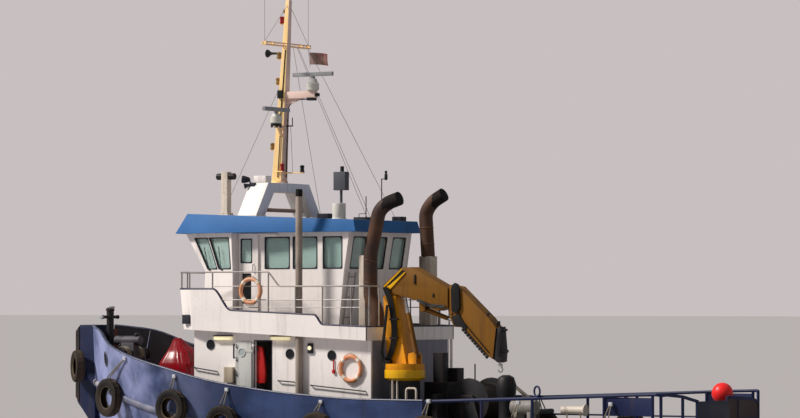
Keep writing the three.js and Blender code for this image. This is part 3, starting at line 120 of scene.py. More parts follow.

# Hull
# Welded steel hull with one hard chine, dark blue above the water and red-brown below, with a
# grey deck. It is scraped and streaked with rust under its fittings. Towards the bow its blue is
# painted paler in ragged patches, which is a painted reflection of the bright sky.

# Stations from the stem aft: x, half breadth and height of the rail, of the deck edge, of the
# bilge and of the flat floor.
STATIONS = [
    (9.35, 0.52, 3.84, 0.45, 2.37, 0.13, 0.35, 0.07, -0.05),
    (9.1, 0.82, 3.8, 0.7, 2.34, 0.26, 0.15, 0.1, -0.55),
    (8.55, 1.3, 3.7, 1.13, 2.26, 0.56, 0.05, 0.15, -0.95),
    (7.7, 1.95, 3.3, 1.76, 2.1, 1.1, 0, 0.26, -1.25),
    (6.4, 2.45, 2.94, 2.3, 1.81, 1.85, -0.1, 0.45, -1.5),
    (5.2, 2.7, 2.69, 2.6, 1.59, 2.35, -0.25, 0.7, -1.6),
    (4, 2.8, 2.43, 2.75, 1.4, 2.6, -0.4, 1, -1.65),
    (3, 2.8, 2.27, 2.8, 1.25, 2.7, -0.5, 1.2, -1.65),
    (1, 2.8, 2.06, 2.8, 1.05, 2.76, -0.6, 1.4, -1.65),
    (-1.5, 2.8, 1.94, 2.8, 1, 2.76, -0.6, 1.5, -1.5),
    (-3.1, 2.8, 1.94, 2.8, 1, 2.76, -0.55, 1.6, -1.35),
    (-6.5, 2.8, 2.06, 2.8, 1, 2.74, -0.25, 1.8, -0.85),
    (-9.3, 2.8, 2.18, 2.8, 1, 2.7, 0.05, 1.9, -0.42),
    (-9.95, 2.78, 2.2, 2.78, 1, 2.66, 0.12, 1.8, -0.34),
    (-10.1, 2.66, 2.2, 2.66, 1, 2.54, 0.16, 1.6, -0.29),
]
COLUMNS = range(1, 9)
RAIL_HALF, RAIL_Z, DECK_HALF, DECK_Z, BILGE_HALF, BILGE_Z, KEEL_HALF, KEEL_Z = COLUMNS
STEM_X, TRANSOM_X = STATIONS[0][0], STATIONS[-1][0]


def faired(column):
    """A fair curve through the stations for one column: no bumps and no overshoot."""
    rows = sorted((row[0], row[column]) for row in STATIONS)
    xs = [row[0] for row in rows]
    ys = [row[1] for row in rows]
    slopes = [(ys[i + 1] - ys[i]) / (xs[i + 1] - xs[i]) for i in range(len(xs) - 1)]
    tangents = [slopes[0]]
    for before, after in zip(slopes, slopes[1:]):
        same_way = before * after > 0
        tangents.append(2 * before * after / (before + after) if same_way else 0)
    tangents.append(slopes[-1])

    def height(x):
        x = min(max(x, xs[0]), xs[-1])
        i = max(k for k in range(len(xs) - 1) if xs[k] <= x)
        span = xs[i + 1] - xs[i]
        t = (x - xs[i]) / span
        return (
            ys[i] * (2 * t**3 - 3 * t**2 + 1) + tangents[i] * span * (t**3 - 2 * t**2 + t)
            + ys[i + 1] * (3 * t**2 - 2 * t**3) + tangents[i + 1] * span * (t**3 - t**2)
        )

    return height


LINES = {column: faired(column) for column in COLUMNS}


def deck_height(x):
    """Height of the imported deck, which runs straight between its stations."""
    rows = sorted((row[0], row[DECK_Z]) for row in STATIONS)
    for (x0, z0), (x1, z1) in zip(rows, rows[1:]):
        if x <= x1:
            return z0 + (z1 - z0) * (x - x0) / (x1 - x0)
    return rows[-1][1]


def spaced(start, end, count):
    """Evenly spaced values, with both ends."""
    return [start + (end - start) * i / (count - 1) for i in range(count)]


# Every part below is a pair of points and faces, and a fitted piece is one or more parts.
def lofted(sections, capped=True):
    """A skin over closed rows of points; capped fills the first and the last row."""
    count = len(sections[0])
    points = [tuple(point) for section in sections for point in section]
    faces = []
    for s in range(len(sections) - 1):
        for i in range(count):
            a, b = s * count + i, s * count + (i + 1) % count
            faces.append((a, b, b + count, a + count))
    if capped:
        faces.append(tuple(range(count)))
        faces.append(tuple(range(len(points) - count, len(points))))
    return points, faces


def mirrored(part):
    """The same part on the starboard side."""
    points, faces = part
    return [(x, -y, z) for x, y, z in points], [tuple(reversed(face)) for face in faces]


def both_sides(parts):
    """Port parts and the same parts on the starboard side."""
    return list(parts) + [mirrored(part) for part in parts]


def meshed(parts, merge):
    """A mesh in the making from parts. A face that folds onto itself or comes twice is left out."""
    work = bmesh.new()
    for points, faces in parts:
        corners = [work.verts.new(point) for point in points]
        for face in faces:
            try:
                work.faces.new([corners[i] for i in face])
            except ValueError:
                continue
    bmesh.ops.remove_doubles(work, verts=work.verts, dist=merge)
    return work


def finished(name, work, body, coats, bevel, sharp_from, smooth, coat_of):
    """Rounds the sharp edges of a mesh in the making, paints it and hangs it on its body."""
    mesh = bpy.data.meshes.new(name)
    bmesh.ops.recalc_face_normals(work, faces=work.faces)
    if bevel:
        least = math.radians(sharp_from)
        sharp = [edge for edge in work.edges if edge.is_manifold and edge.calc_face_angle(0) > least]
        bmesh.ops.bevel(work, geom=sharp, offset=bevel, segments=2, profile=0.6,
                        affect="EDGES", clamp_overlap=True)
    work.to_mesh(mesh)
    work.free()
    mesh.shade_smooth()
    mesh.set_sharp_from_angle(angle=math.radians(smooth))
    for material in coats:
        mesh.materials.append(material)
    if coat_of:
        for face in mesh.polygons:
            face.material_index = coat_of(face.center, face.normal)
    piece = bpy.data.objects.new(name, mesh)
    bpy.context.scene.collection.objects.link(piece)
    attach(piece, body)
    return piece


def fitted(name, body, slot, coats, parts, bevel=0.0, smooth=35, coat_of=None):
    """A piece made from parts. Where it has more coats, coat_of gives each face the number of its own."""
    return finished(name, meshed(parts, 0.0001), body, coats, bevel, 32, smooth, coat_of)


def on_boat(name, slot, material, parts, **how):
    """A piece of one coat that is fixed to the boat itself."""
    return fitted(name, "boat", slot, [material], parts, **how)


# Shader effects that many coats share: each is a node group with its own named values.
def effect(name, values, results):
    """A new node group with named inputs and outputs, and its two end nodes."""
    group = bpy.data.node_groups.new(name, "ShaderNodeTree")
    for label, kind, start in values:
        socket = group.interface.new_socket(label, in_out="INPUT", socket_type=kind)
        socket.default_value = start
    for label, kind in results:
        group.interface.new_socket(label, in_out="OUTPUT", socket_type=kind)
    given = group.nodes.new("NodeGroupInput")
    made = group.nodes.new("NodeGroupOutput")
    return group, given, made


FLOAT, COLOUR = "NodeSocketFloat", "NodeSocketColor"


def arithmetic(tree, operation, first, second=None, clamp=False):
    """A sum, product or the like of sockets and plain numbers."""
    node = tree.nodes.new("ShaderNodeMath")
    node.operation = operation
    node.use_clamp = clamp
    for socket, value in zip(node.inputs, (first, second)):
        if value is None:
            continue
        if isinstance(value, (int, float)):
            socket.default_value = value
        else:
            tree.links.new(value, socket)
    return node.outputs[0]


def blended(tree, share, below, above):
    """Two colours mixed by a share: none of it leaves the one below."""
    node = tree.nodes.new("ShaderNodeMix")
    node.data_type = "RGBA"
    for socket, value in ((node.inputs[0], share), (node.inputs[6], below), (node.inputs[7], above)):
        if isinstance(value, (int, float, tuple)):
            socket.default_value = value
        else:
            tree.links.new(value, socket)
    return node.outputs[2]


def mottled(tree, stretch, scale, detail=4, roughness=0.55):
    """Noise over the piece, stretched along its axes, about 0.5 on average."""
    place = tree.nodes.new("ShaderNodeTexCoord").outputs["Object"]
    spread = tree.nodes.new("ShaderNodeMapping")
    spread.inputs["Scale"].default_value = stretch
    tree.links.new(place, spread.inputs["Vector"])
    noise = tree.nodes.new("ShaderNodeTexNoise")
    noise.inputs["Detail"].default_value = detail
    noise.inputs["Roughness"].default_value = roughness
    noise.inputs["Scale"].default_value = scale
    tree.links.new(spread.outputs["Vector"], noise.inputs["Vector"])
    return noise.outputs["Fac"]


def between(tree, value, low, high):
    """A smooth step of a value from 0 at low to 1 at high."""
    node = tree.nodes.new("ShaderNodeMapRange")
    node.interpolation_type = "SMOOTHSTEP"
    tree.links.new(value, node.inputs["Value"])
    node.inputs["From Min"].default_value = low
    node.inputs["From Max"].default_value = high
    return node.outputs["Result"]


# Weathered paint: fades in patches, runs with grime, and rusts in spots and streaks.
weather, worn_in, worn_out = effect(
    "weathered_paint",
    [("Paint", COLOUR, (0.5, 0.5, 0.5, 1)), ("Faded", COLOUR, (0.6, 0.6, 0.6, 1)),
     ("Grime", COLOUR, (0.1, 0.09, 0.08, 1)), ("Rust", COLOUR, (0.15, 0.05, 0.02, 1)),
     ("Fading", FLOAT, 0.5), ("Runs", FLOAT, 0.3), ("Rust Spots", FLOAT, 0.2), ("Sheen", FLOAT, 0.45)],
    [("Colour", COLOUR), ("Roughness", FLOAT), ("Height", FLOAT)])
patches = between(weather, mottled(weather, (0.5, 0.5, 0.9), 1.0, 6), 0.38, 0.66)
fading = arithmetic(weather, "MULTIPLY", patches, worn_in.outputs["Fading"])
faded = blended(weather, fading, worn_in.outputs["Paint"], worn_in.outputs["Faded"])
runs = between(weather, mottled(weather, (5, 5, 0.42), 1.0, 7, 0.62), 0.5, 0.74)
run_share = arithmetic(weather, "MULTIPLY", runs, worn_in.outputs["Runs"])
grimed = blended(weather, run_share, faded, worn_in.outputs["Grime"])
spots = between(weather, mottled(weather, (1, 1, 1), 11.0, 8, 0.7), 0.56, 0.68)
spot_area = between(weather, mottled(weather, (1, 1, 0.6), 1.6, 3), 0.42, 0.7)
rust_runs = between(weather, mottled(weather, (9, 9, 0.5), 1.0, 5, 0.6), 0.58, 0.72)
rusty = arithmetic(weather, "MAXIMUM", spots, rust_runs)
rusty = arithmetic(weather, "MULTIPLY", rusty, spot_area)
rusty = arithmetic(weather, "MULTIPLY", rusty, worn_in.outputs["Rust Spots"], clamp=True)
weathered = blended(weather, rusty, grimed, worn_in.outputs["Rust"])
weather.links.new(weathered, worn_out.inputs["Colour"])
rust_rough = arithmetic(weather, "MULTIPLY", rusty, 0.35)
faded_rough = arithmetic(weather, "MULTIPLY", fading, 0.15)
rough = arithmetic(weather, "ADD", worn_in.outputs["Sheen"], rust_rough)
rough = arithmetic(weather, "ADD", rough, faded_rough, clamp=True)
weather.links.new(rough, worn_out.inputs["Roughness"])
grain = mottled(weather, (1, 1, 1), 26.0, 4)
weather.links.new(arithmetic(weather, "ADD", grain, rusty), worn_out.inputs["Height"])

# Plating: weld seams at every frame and plates that sag a little between the frames.
plating, plate_in, plate_out = effect(
    "welded_plating",
    [("Frame Spacing", FLOAT, 0.6), ("Strake Height", FLOAT, 1.2), ("Sag", FLOAT, 1.0)],
    [("Height", FLOAT)])
plate_place = plating.nodes.new("ShaderNodeTexCoord").outputs["Object"]
plate_axes = plating.nodes.new("ShaderNodeSeparateXYZ")
plating.links.new(plate_place, plate_axes.inputs["Vector"])
along_plate = arithmetic(plating, "ADD", plate_axes.outputs["X"], plate_axes.outputs["Y"])
frame_phase = arithmetic(plating, "DIVIDE", along_plate, plate_in.outputs["Frame Spacing"])
frame_wave = arithmetic(plating, "SINE", arithmetic(plating, "MULTIPLY", frame_phase, math.pi))
hollow = arithmetic(plating, "ABSOLUTE", frame_wave)
dented = arithmetic(plating, "MULTIPLY", hollow, mottled(plating, (1, 1, 1), 0.9, 2))
sag = arithmetic(plating, "MULTIPLY", dented, plate_in.outputs["Sag"])
plate_length = arithmetic(plating, "MULTIPLY", plate_in.outputs["Frame Spacing"], 1.5)
seam_x = arithmetic(plating, "PINGPONG", along_plate, plate_length)
seam_z = arithmetic(plating, "PINGPONG", plate_axes.outputs["Z"], plate_in.outputs["Strake Height"])
seam_near = arithmetic(plating, "MINIMUM", seam_x, seam_z)
seam = between(plating, seam_near, 0.016, 0.004)
weld = arithmetic(plating, "MULTIPLY", seam, 0.12)
plating.links.new(arithmetic(plating, "SUBTRACT", weld, sag), plate_out.inputs["Height"])

# Edge mark: a mask that is bright along an edge. On most coats it marks worn paint, and on some it
# carries a painted highlight.
edge_mark, edge_mark_in, edge_mark_out = effect(
    "edge_wear_and_highlight", [("Breadth", FLOAT, 0.02), ("Patchiness", FLOAT, 0.5)], [("Mask", FLOAT)])
rounded = edge_mark.nodes.new("ShaderNodeBevel")
rounded.samples = 3
edge_mark.links.new(edge_mark_in.outputs["Breadth"], rounded.inputs["Radius"])
facing = edge_mark.nodes.new("ShaderNodeNewGeometry")
turned_away = edge_mark.nodes.new("ShaderNodeVectorMath")
turned_away.operation = "DOT_PRODUCT"
edge_mark.links.new(rounded.outputs["Normal"], turned_away.inputs[0])
edge_mark.links.new(facing.outputs["Normal"], turned_away.inputs[1])
edge = between(edge_mark, turned_away.outputs["Value"], 0.985, 0.9)
chance = between(edge_mark, mottled(edge_mark, (1, 1, 1), 7.0, 5), 0.35, 0.6)
patchy = arithmetic(edge_mark, "MULTIPLY", chance, edge_mark_in.outputs["Patchiness"])
plain_share = arithmetic(edge_mark, "SUBTRACT", 1, edge_mark_in.outputs["Patchiness"])
kept_share = arithmetic(edge_mark, "ADD", patchy, plain_share)
edge_mark.links.new(arithmetic(edge_mark, "MULTIPLY", edge, kept_share), edge_mark_out.inputs["Mask"])


def placed(tree, group, **values):
    """Sets a shared effect in a material, with its own values."""
    node = tree.nodes.new("ShaderNodeGroup")
    node.node_tree = group
    for label, value in values.items():
        node.inputs[label.replace("_", " ")].default_value = value
    return node


GRIME = (58, 50, 44)
RUST = (112, 62, 36)
SPOT_RELIEF, PLATE_RELIEF = 0.004, 0.02


def coat(name, paint, faded, fading=0.5, runs=0.3, rust=0.15, sheen=0.45, grime=GRIME,
         metallic=0.0, edges=0.0, edge_colour=RUST, plates=0.0, relief=0.25, shine=0.3):
    """A material of weathered paint, with marked edges and welded plating where asked.

    Colours are on the painter's scale. Fading, runs and rust are shares, sheen is the roughness of
    sound paint, edges is the breadth of the edge mark in edge_colour, which is worn paint on most
    coats and a painted highlight on some, and plates is how far the plating sags.
    """
    material = bpy.data.materials.new(name)
    material.use_nodes = True
    tree = material.node_tree
    surface = tree.nodes["Principled BSDF"]
    surface.inputs["Metallic"].default_value = metallic
    surface.inputs["Specular IOR Level"].default_value = shine
    worn = placed(tree, weather, Paint=mixed(*paint), Faded=mixed(*faded), Grime=mixed(*grime),
                  Rust=mixed(*RUST), Fading=fading, Runs=runs, Rust_Spots=rust, Sheen=sheen)
    colour = worn.outputs["Colour"]
    if edges:
        mask = placed(tree, edge_mark, Breadth=edges, Patchiness=0.6)
        colour = blended(tree, mask.outputs["Mask"], colour, mixed(*edge_colour))
    height = arithmetic(tree, "MULTIPLY", worn.outputs["Height"], SPOT_RELIEF)
    if plates:
        welds = placed(tree, plating, Sag=plates)
        weld_height = arithmetic(tree, "MULTIPLY", welds.outputs["Height"], PLATE_RELIEF)
        height = arithmetic(tree, "ADD", height, weld_height)
    bump = tree.nodes.new("ShaderNodeBump")
    bump.inputs["Strength"].default_value = relief
    bump.inputs["Distance"].default_value = 1.0
    tree.links.new(height, bump.inputs["Height"])
    tree.links.new(colour, surface.inputs["Base Color"])
    tree.links.new(worn.outputs["Roughness"], surface.inputs["Roughness"])
    tree.links.new(bump.outputs["Normal"], surface.inputs["Normal"])
    return material


topside_coat = coat("topside_blue", (30, 45, 80), (64, 84, 136), runs=0.55, rust=0.4,
                    sheen=0.42, grime=(40, 44, 66), plates=1.0)
bottom_coat = coat("bottom_red", (104, 44, 36), (120, 70, 58), fading=0.6, rust=0.3, sheen=0.7)
deck_coat = coat("deck_grey_green", (84, 96, 90), (112, 112, 104), fading=0.7, runs=0.0, rust=0.6,
                 sheen=0.75)


def sky_reflection_towards_bow(material, tone, low, high, share):
    """Mixes a pale tone into a coat towards the bow in ragged patches: a painted reflection of the sky."""
    tree = material.node_tree
    surface = tree.nodes["Principled BSDF"]
    colour = surface.inputs["Base Color"].links[0].from_socket
    place = tree.nodes.new("ShaderNodeTexCoord").outputs["Object"]
    axes = tree.nodes.new("ShaderNodeSeparateXYZ")
    tree.links.new(place, axes.inputs["Vector"])
    forward = between(tree, axes.outputs["X"], low, high)
    ragged = between(tree, mottled(tree, (0.6, 0.6, 0.5), 1.3, 5), 0.3, 0.62)
    reach = arithmetic(tree, "MULTIPLY", forward, ragged)
    amount = arithmetic(tree, "MULTIPLY", reach, share)
    tree.links.new(blended(tree, amount, colour, mixed(*tone)), surface.inputs["Base Color"])


# The pale blue towards the bow is a painted reflection of the sky on the topsides.
sky_reflection_towards_bow(topside_coat, (160, 168, 214), 2.5, 8.0, 0.84)

BOOT_TOP = 0.12
HULL_ROWS = 96
shell_sections = []
for x in spaced(STEM_X, TRANSOM_X, HULL_ROWS):
    line = {column: LINES[column](x) for column in COLUMNS}
    deck_z = deck_height(x)
    edge = (line[DECK_HALF], deck_z)
    bilge = (line[BILGE_HALF], line[BILGE_Z])
    keel = (line[KEEL_HALF], line[KEEL_Z])
    # A row at the boot-top keeps its edge a clean line. Aft, where the bilge is higher, there is none.
    boot_share = (deck_z - BOOT_TOP) / (deck_z - line[BILGE_Z])
    boot = (line[DECK_HALF] + (line[BILGE_HALF] - line[DECK_HALF]) * boot_share, BOOT_TOP)
    rows = [edge, boot if line[BILGE_Z] < BOOT_TOP - 0.01 else bilge, bilge, keel]
    starboard = [(x, -y, z) for y, z in reversed(rows)]
    shell_sections.append([(x, y, z) for y, z in rows] + starboard)


def hull_coat(centre, normal):
    """Blue sides, then the grey deck, then the red bottom."""
    if normal.z > 0.9 and centre.z > 0.8:
        return 1
    return 2 if centre.z < BOOT_TOP else 0


hull_shell = fitted("hull_plating", "boat", "hull_paint", [topside_coat, deck_coat, bottom_coat],
                    [lofted(shell_sections)], smooth=28, coat_of=hull_coat)
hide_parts("hull")

# Rubbing strakes
# Half-round steel bar welded along each side just under the deck edge, scraped pale where it
# meets quays and other hulls.
STRAKE_TOP, STRAKE_DEEP, STRAKE_OUT, STRAKE_SUNK = 0.06, 0.19, 0.11, 0.06
STRAKE_FORE, STRAKE_AFT = 9.33, -9.3
scraped_coat = coat("scraped_strake", (92, 98, 128), (170, 168, 176), fading=0.9, rust=0.5, sheen=0.5,
                    edges=0.03, edge_colour=(150, 146, 150))


def shell_half(x, z):
    """Half breadth of the side between the deck edge and the bilge."""
    top, low = deck_height(x), LINES[BILGE_Z](x)
    return LINES[DECK_HALF](x) + (LINES[BILGE_HALF](x) - LINES[DECK_HALF](x)) * (top - z) / (top - low)


strake_sections = []
for x in spaced(STRAKE_FORE, STRAKE_AFT, 72):
    top = LINES[DECK_Z](x) - STRAKE_TOP
    low = top - STRAKE_DEEP
    row = []
    for k in range(7):
        angle = math.pi * k / 6
        z = top - STRAKE_DEEP / 2 * (1 - math.cos(angle))
        row.append((x, shell_half(x, z) + STRAKE_OUT * math.sin(angle), z))
    for z in (low, top):
        row.append((x, shell_half(x, z) - STRAKE_SUNK, z))
    strake_sections.append(row)
on_boat("rubbing_strakes", "hull_paint", scraped_coat, both_sides([lofted(strake_sections)]))

# Skeg, bossings and shaft brackets
# Flat steel skeg on the centreline, and a bossing, a bracket and a bearing for each shaft. All
# are welded to the bottom, under water.


def block(x0, x1, y0, y1, z0, z1):
    """A box between two values on each axis."""
    points = [(x, y, z) for x in (x0, x1) for y in (y0, y1) for z in (z0, z1)]
    return points, [(0, 1, 3, 2), (4, 6, 7, 5), (0, 4, 5, 1), (2, 3, 7, 6), (0, 2, 6, 4), (1, 5, 7, 3)]


def plate(outline, low, high, across="y"):
    """A flat plate: across y its outline is in x and z, and across x it is in y and z."""
    count = len(outline)
    points = [(a, c, b) if across == "y" else (c, a, b) for c in (low, high) for a, b in outline]
    faces = [tuple(range(count)), tuple(range(count, 2 * count))]
    faces += [(i, (i + 1) % count, (i + 1) % count + count, i + count) for i in range(count)]
    return points, faces


def turned_between(start, end, profile, sides=28):
    """A turned part on the line from start to end: profile rows are distance along it and radius."""
    start, end = Vector(start), Vector(end)
    turn = (end - start).normalized().to_track_quat("Z", "Y")
    angles = [2 * math.pi * k / sides for k in range(sides)]
    sections = []
    for distance, radius in profile:
        circle = [Vector((radius * math.cos(a), radius * math.sin(a), distance)) for a in angles]
        sections.append([start + turn @ point for point in circle])
    return lofted(sections)


def bar(start, end, radius, sides=12, end_radius=None):
    """A round bar, tapered where its end has a radius of its own."""
    length = (Vector(end) - Vector(start)).length
    last = radius if end_radius is None else end_radius
    return turned_between(start, end, [(0, radius), (length, last)], sides)


def corner_curve(before, corner, after, bend, steps=6):
    """Points that round off a corner between two others."""
    back, on = before - corner, after - corner
    cut = min(bend, back.length * 0.48, on.length * 0.48)
    first, last = corner + back.normalized() * cut, corner + on.normalized() * cut
    shares = [k / steps for k in range(steps + 1)]
    return [first * (1 - t) ** 2 + corner * 2 * t * (1 - t) + last * t**2 for t in shares]


def rounded_path(points, bend, steps=6):
    """A path with each corner between its ends rounded off."""
    points = [Vector(p) for p in points]
    path = [points[0]]
    for before, corner, after in zip(points, points[1:], points[2:]):
        path += corner_curve(before, corner, after, bend, steps)
    path.append(points[-1])
    return path


def bent_bar(path, radius, sides=12, closed=False, flat=1.0):
    """A round bar or pipe along a path; flat squeezes its height."""
    path = [Vector(p) for p in path]
    count = len(path)
    angles = [2 * math.pi * k / sides for k in range(sides)]
    sections = []
    side = None
    for i, point in enumerate(path):
        before = path[i - 1] if i or closed else path[i]
        after = path[(i + 1) % count] if i + 1 < count or closed else path[i]
        run = (after - before).normalized()
        if side is None:
            upright = abs(run.z) > 0.95
            side = (run.orthogonal() if upright else run.cross(Vector((0, 0, 1)))).normalized()
        side = (side - run * side.dot(run)).normalized()
        up = run.cross(side)
        sections.append([
            point + side * radius * math.cos(a) + up * radius * flat * math.sin(a) for a in angles])
    if closed:
        return lofted(sections + [sections[0]], capped=False)
    return lofted(sections)


SHAFT_Y, SHAFT_Z = 1.15, -1.4
BEARING_AFT, BEARING_FORE = -6.62, -6.38
skeg = plate([(3, -1.5), (2.1, -1.9), (-6.7, -2.05), (-7.6, -2.05), (-7.6, -0.6)], -0.09, 0.09)
bossing = turned_between((-3.4, SHAFT_Y, SHAFT_Z + 0.12), (-4.3, SHAFT_Y, SHAFT_Z),
                         [(0, 0.23), (0.5, 0.2), (0.905, 0.13)])
bracket = plate([(BEARING_AFT, -1.3), (BEARING_FORE, -1.3), (-6.42, -0.7), (-6.58, -0.7)],
                SHAFT_Y - 0.025, SHAFT_Y + 0.025)
bearing = turned_between((BEARING_AFT, SHAFT_Y, SHAFT_Z), (BEARING_FORE, SHAFT_Y, SHAFT_Z),
                         [(0, 0.11), (0.03, 0.125), (0.21, 0.125), (0.24, 0.11)])
on_boat("skeg_and_bossings", "hull_paint", bottom_coat,
        [skeg] + both_sides([bossing, bracket, bearing]), bevel=0.015)

# Bulwarks
# Steel plate raised on the deck edge from the stem to abaft the house, stiffened inside by
# brackets and capped by a dark rounded bar, whose pale edges are a painted highlight.
BULWARK_AFT = -3.1
BULWARK_THICK = 0.06
BRACKET_HALF_THICK = 0.006
bulwark_inside_coat = coat("bulwark_inside", (50, 50, 60), (76, 73, 78), fading=0.6, runs=0.4, rust=0.5)
# The cap's pale edge colour is a painted highlight along its rounded edges.
cap_coat = coat("cap_blue", (38, 50, 86), (110, 112, 130), fading=0.4, rust=0.3, sheen=0.35,
                edges=0.015, edge_colour=(190, 188, 196))

bulwark_sections, cap_path = [], []
for x in spaced(BULWARK_AFT, STEM_X, 64):
    foot_y, foot_z = LINES[DECK_HALF](x), deck_height(x) + 0.0003
    head_y, head_z = LINES[RAIL_HALF](x), LINES[RAIL_Z](x)
    outside = [(foot_y + (head_y - foot_y) * t, foot_z + (head_z - foot_z) * t) for t in (0, 0.35, 0.7, 1)]
    inside = [(max(y - BULWARK_THICK, 0.02), z) for y, z in reversed(outside)]
    bulwark_sections.append([(x, y, z) for y, z in outside + inside])
    cap_path.append(Vector((x, head_y - BULWARK_THICK / 2, head_z - 0.012)))
bulwark = lofted(bulwark_sections)
for name, side, part in (("port", 1, bulwark), ("starboard", -1, mirrored(bulwark))):
    piece = fitted(f"bulwark_plating_{name}", "boat", "hull_paint", [topside_coat, bulwark_inside_coat],
                   [part], smooth=30, coat_of=lambda centre, normal: 1 if normal.y * side < -0.3 else 0)
    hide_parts(f"bulwark_{name}")
cap_and_brackets = [bent_bar(cap_path, 0.05, 10, flat=0.5)]
for x in spaced(-2.6, 8.6, 15):
    y, z = LINES[DECK_HALF](x) - 0.05, deck_height(x)
    top_y, top_z = LINES[RAIL_HALF](x) - 0.06, LINES[RAIL_Z](x)
    beside_house = -1.1 < x < 5.0
    reach = 0.22 if beside_house else 0.3
    outline = [(y, z), (y - reach, z), (top_y - 0.05, top_z - 0.05), (top_y, top_z - 0.03)]
    cap_and_brackets.append(plate(outline, x - BRACKET_HALF_THICK, x + BRACKET_HALF_THICK, "x"))
on_boat("bulwark_cap_and_brackets", "hull_paint", cap_coat, both_sides(cap_and_brackets))

# Fairleads
# Oval hole through each bulwark near the bow for the mooring lines, with a round bar welded
# round its edge. A dark pocket closes the hole, which is painted shade.
FAIRLEAD_X, FAIRLEAD_Z = 8.05, 2.9
FAIRLEAD_HALF_WIDE, FAIRLEAD_HALF_HIGH = 0.12, 0.2
# This near-black coat is the dark lower panel of the sliding doors and the painted shade in the fairlead
# holes.
dark_coat = coat("dark_panel_and_painted_shade", (14, 14, 17), (22, 22, 24), rust=0.0, runs=0.0, sheen=0.9)


def bulwark_point(x, z, out):
    """A point that stands out from the port bulwark's outer face."""
    foot, head = deck_height(x), LINES[RAIL_Z](x)
    t = (z - foot) / (head - foot)
    return Vector((x, LINES[DECK_HALF](x) + (LINES[RAIL_HALF](x) - LINES[DECK_HALF](x)) * t + out, z))


lead_edge = []
for k in range(20):
    angle = 2 * math.pi * k / 20
    x = FAIRLEAD_X + FAIRLEAD_HALF_WIDE * math.cos(angle)
    z = FAIRLEAD_Z + FAIRLEAD_HALF_HIGH * math.sin(angle)
    lead_edge.append(bulwark_point(x, z, 0.004))
pocket_mouth = [point + Vector((0.003, 0.006, 0)) for point in lead_edge]
pocket_back = [point - Vector((0.03, 0.07, 0)) for point in lead_edge]
on_boat("fairlead_rings", "hull_paint", cap_coat,
        both_sides([bent_bar(lead_edge, 0.022, 8, closed=True)]))
on_boat("fairlead_holes", "hull_paint", dark_coat, both_sides([lofted([pocket_mouth, pocket_back])]))

# Pusher knee
# Box of steel plate welded to the stem for pushing, with strips of worn rubber down its face and
# its corners.
KNEE_HALF = 0.45
KNEE_OUTLINE = [(9.35, 0.7), (9.51, 1.1), (9.81, 1.47), (9.96, 1.64), (10.0, 1.76), (10.0, 3.7),
                (9.88, 3.84), (9.35, 3.84)]
FACE_STRIP = [(9.99, 1.78), (10.045, 1.82), (10.045, 3.62), (9.99, 3.68)]
CORNER_STRIP = [(9.9, 1.66), (10.02, 1.8), (10.02, 3.66), (9.9, 3.8)]
knee_coat = coat("knee_blue", (16, 28, 62), (28, 40, 78), runs=0.5, rust=0.5, plates=0.8)
rubber_coat = coat("worn_rubber", (26, 24, 26), (72, 62, 58), fading=0.8, rust=0.3, sheen=0.85,
                   edges=0.02, edge_colour=(92, 84, 78), relief=0.5)
knee = on_boat("pusher_knee_box", "hull_paint", knee_coat,
               [plate(KNEE_OUTLINE, -KNEE_HALF, KNEE_HALF)], bevel=0.02)
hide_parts("pusher_knee")
strips = [plate(FACE_STRIP, y - 0.1, y + 0.1) for y in (-0.34, 0.0, 0.34)]
strips += [plate(CORNER_STRIP, y - 0.03, y + 0.03) for y in (-0.44, 0.44)]
on_boat("knee_rubber", "hull_paint", rubber_coat, strips, bevel=0.012)

# Tyre fenders
# Worn lorry tyres hung round the hull on short ropes from pad eyes at the rail. Each is given by
# its centre, the way that it faces in plan and its diameter.
TYRES = [
    ((9.701, 0.775, 2.67), 50.0, 0.9),
    ((7.673, 2.01, 1.84), 69.0, 1.07),
    ((4.89, 2.881, 1.62), 85.2, 1.0),
    ((3.1, 3.03, 1.22), 90.0, 1.0),
    ((0.06, 3.032, 1.09), 90.0, 1.0),
    ((-3.3, 3.031, 1.05), 90.0, 1.0),
    ((-6.0, 3.03, 1.05), 90.0, 1.0),
    ((-8.7, 3.028, 1.05), 90.0, 1.0),
]
TYRE_HALF_WIDTH = 0.135
TYRE_STEPS = 40
TREAD_DEEP = 0.012
# Half of a tyre's section, from the bead round the wall to the crown: share of radius and of half
# width.
TYRE_SECTION = [
    (0.57, 0.5), (0.56, 0.66), (0.6, 0.78), (0.68, 0.92), (0.78, 1.0), (0.88, 0.97),
    (0.955, 0.86), (0.985, 0.7), (1.0, 0.52), (1.0, 0.36), (0.985, 0.33), (0.985, 0.27),
    (1.0, 0.24), (1.0, 0.08), (0.985, 0.05)]
# The brown on the tyres' edges is partly worn rubber and partly a painted highlight.
tyre_rubber = coat("tyre_rubber", (20, 18, 18), (66, 54, 44), fading=0.6, runs=0.2, rust=0.2, sheen=0.8,
                   grime=(52, 43, 34), edges=0.03, edge_colour=(96, 80, 62), relief=0.6)
rope_coat = coat("hemp_rope", (120, 112, 100), (150, 142, 128), fading=0.6, runs=0, rust=0, sheen=0.9,
                 relief=0.6)
pad_coat = coat("pad_eye_white", (196, 198, 206), (150, 150, 156), rust=0.5)


def tyre_way(heading):
    """The way out of a tyre that faces a heading, and the level way along the hull beside it."""
    out = Vector((math.cos(math.radians(heading)), math.sin(math.radians(heading)), 0))
    return out, out.cross(Vector((0, 0, 1)))


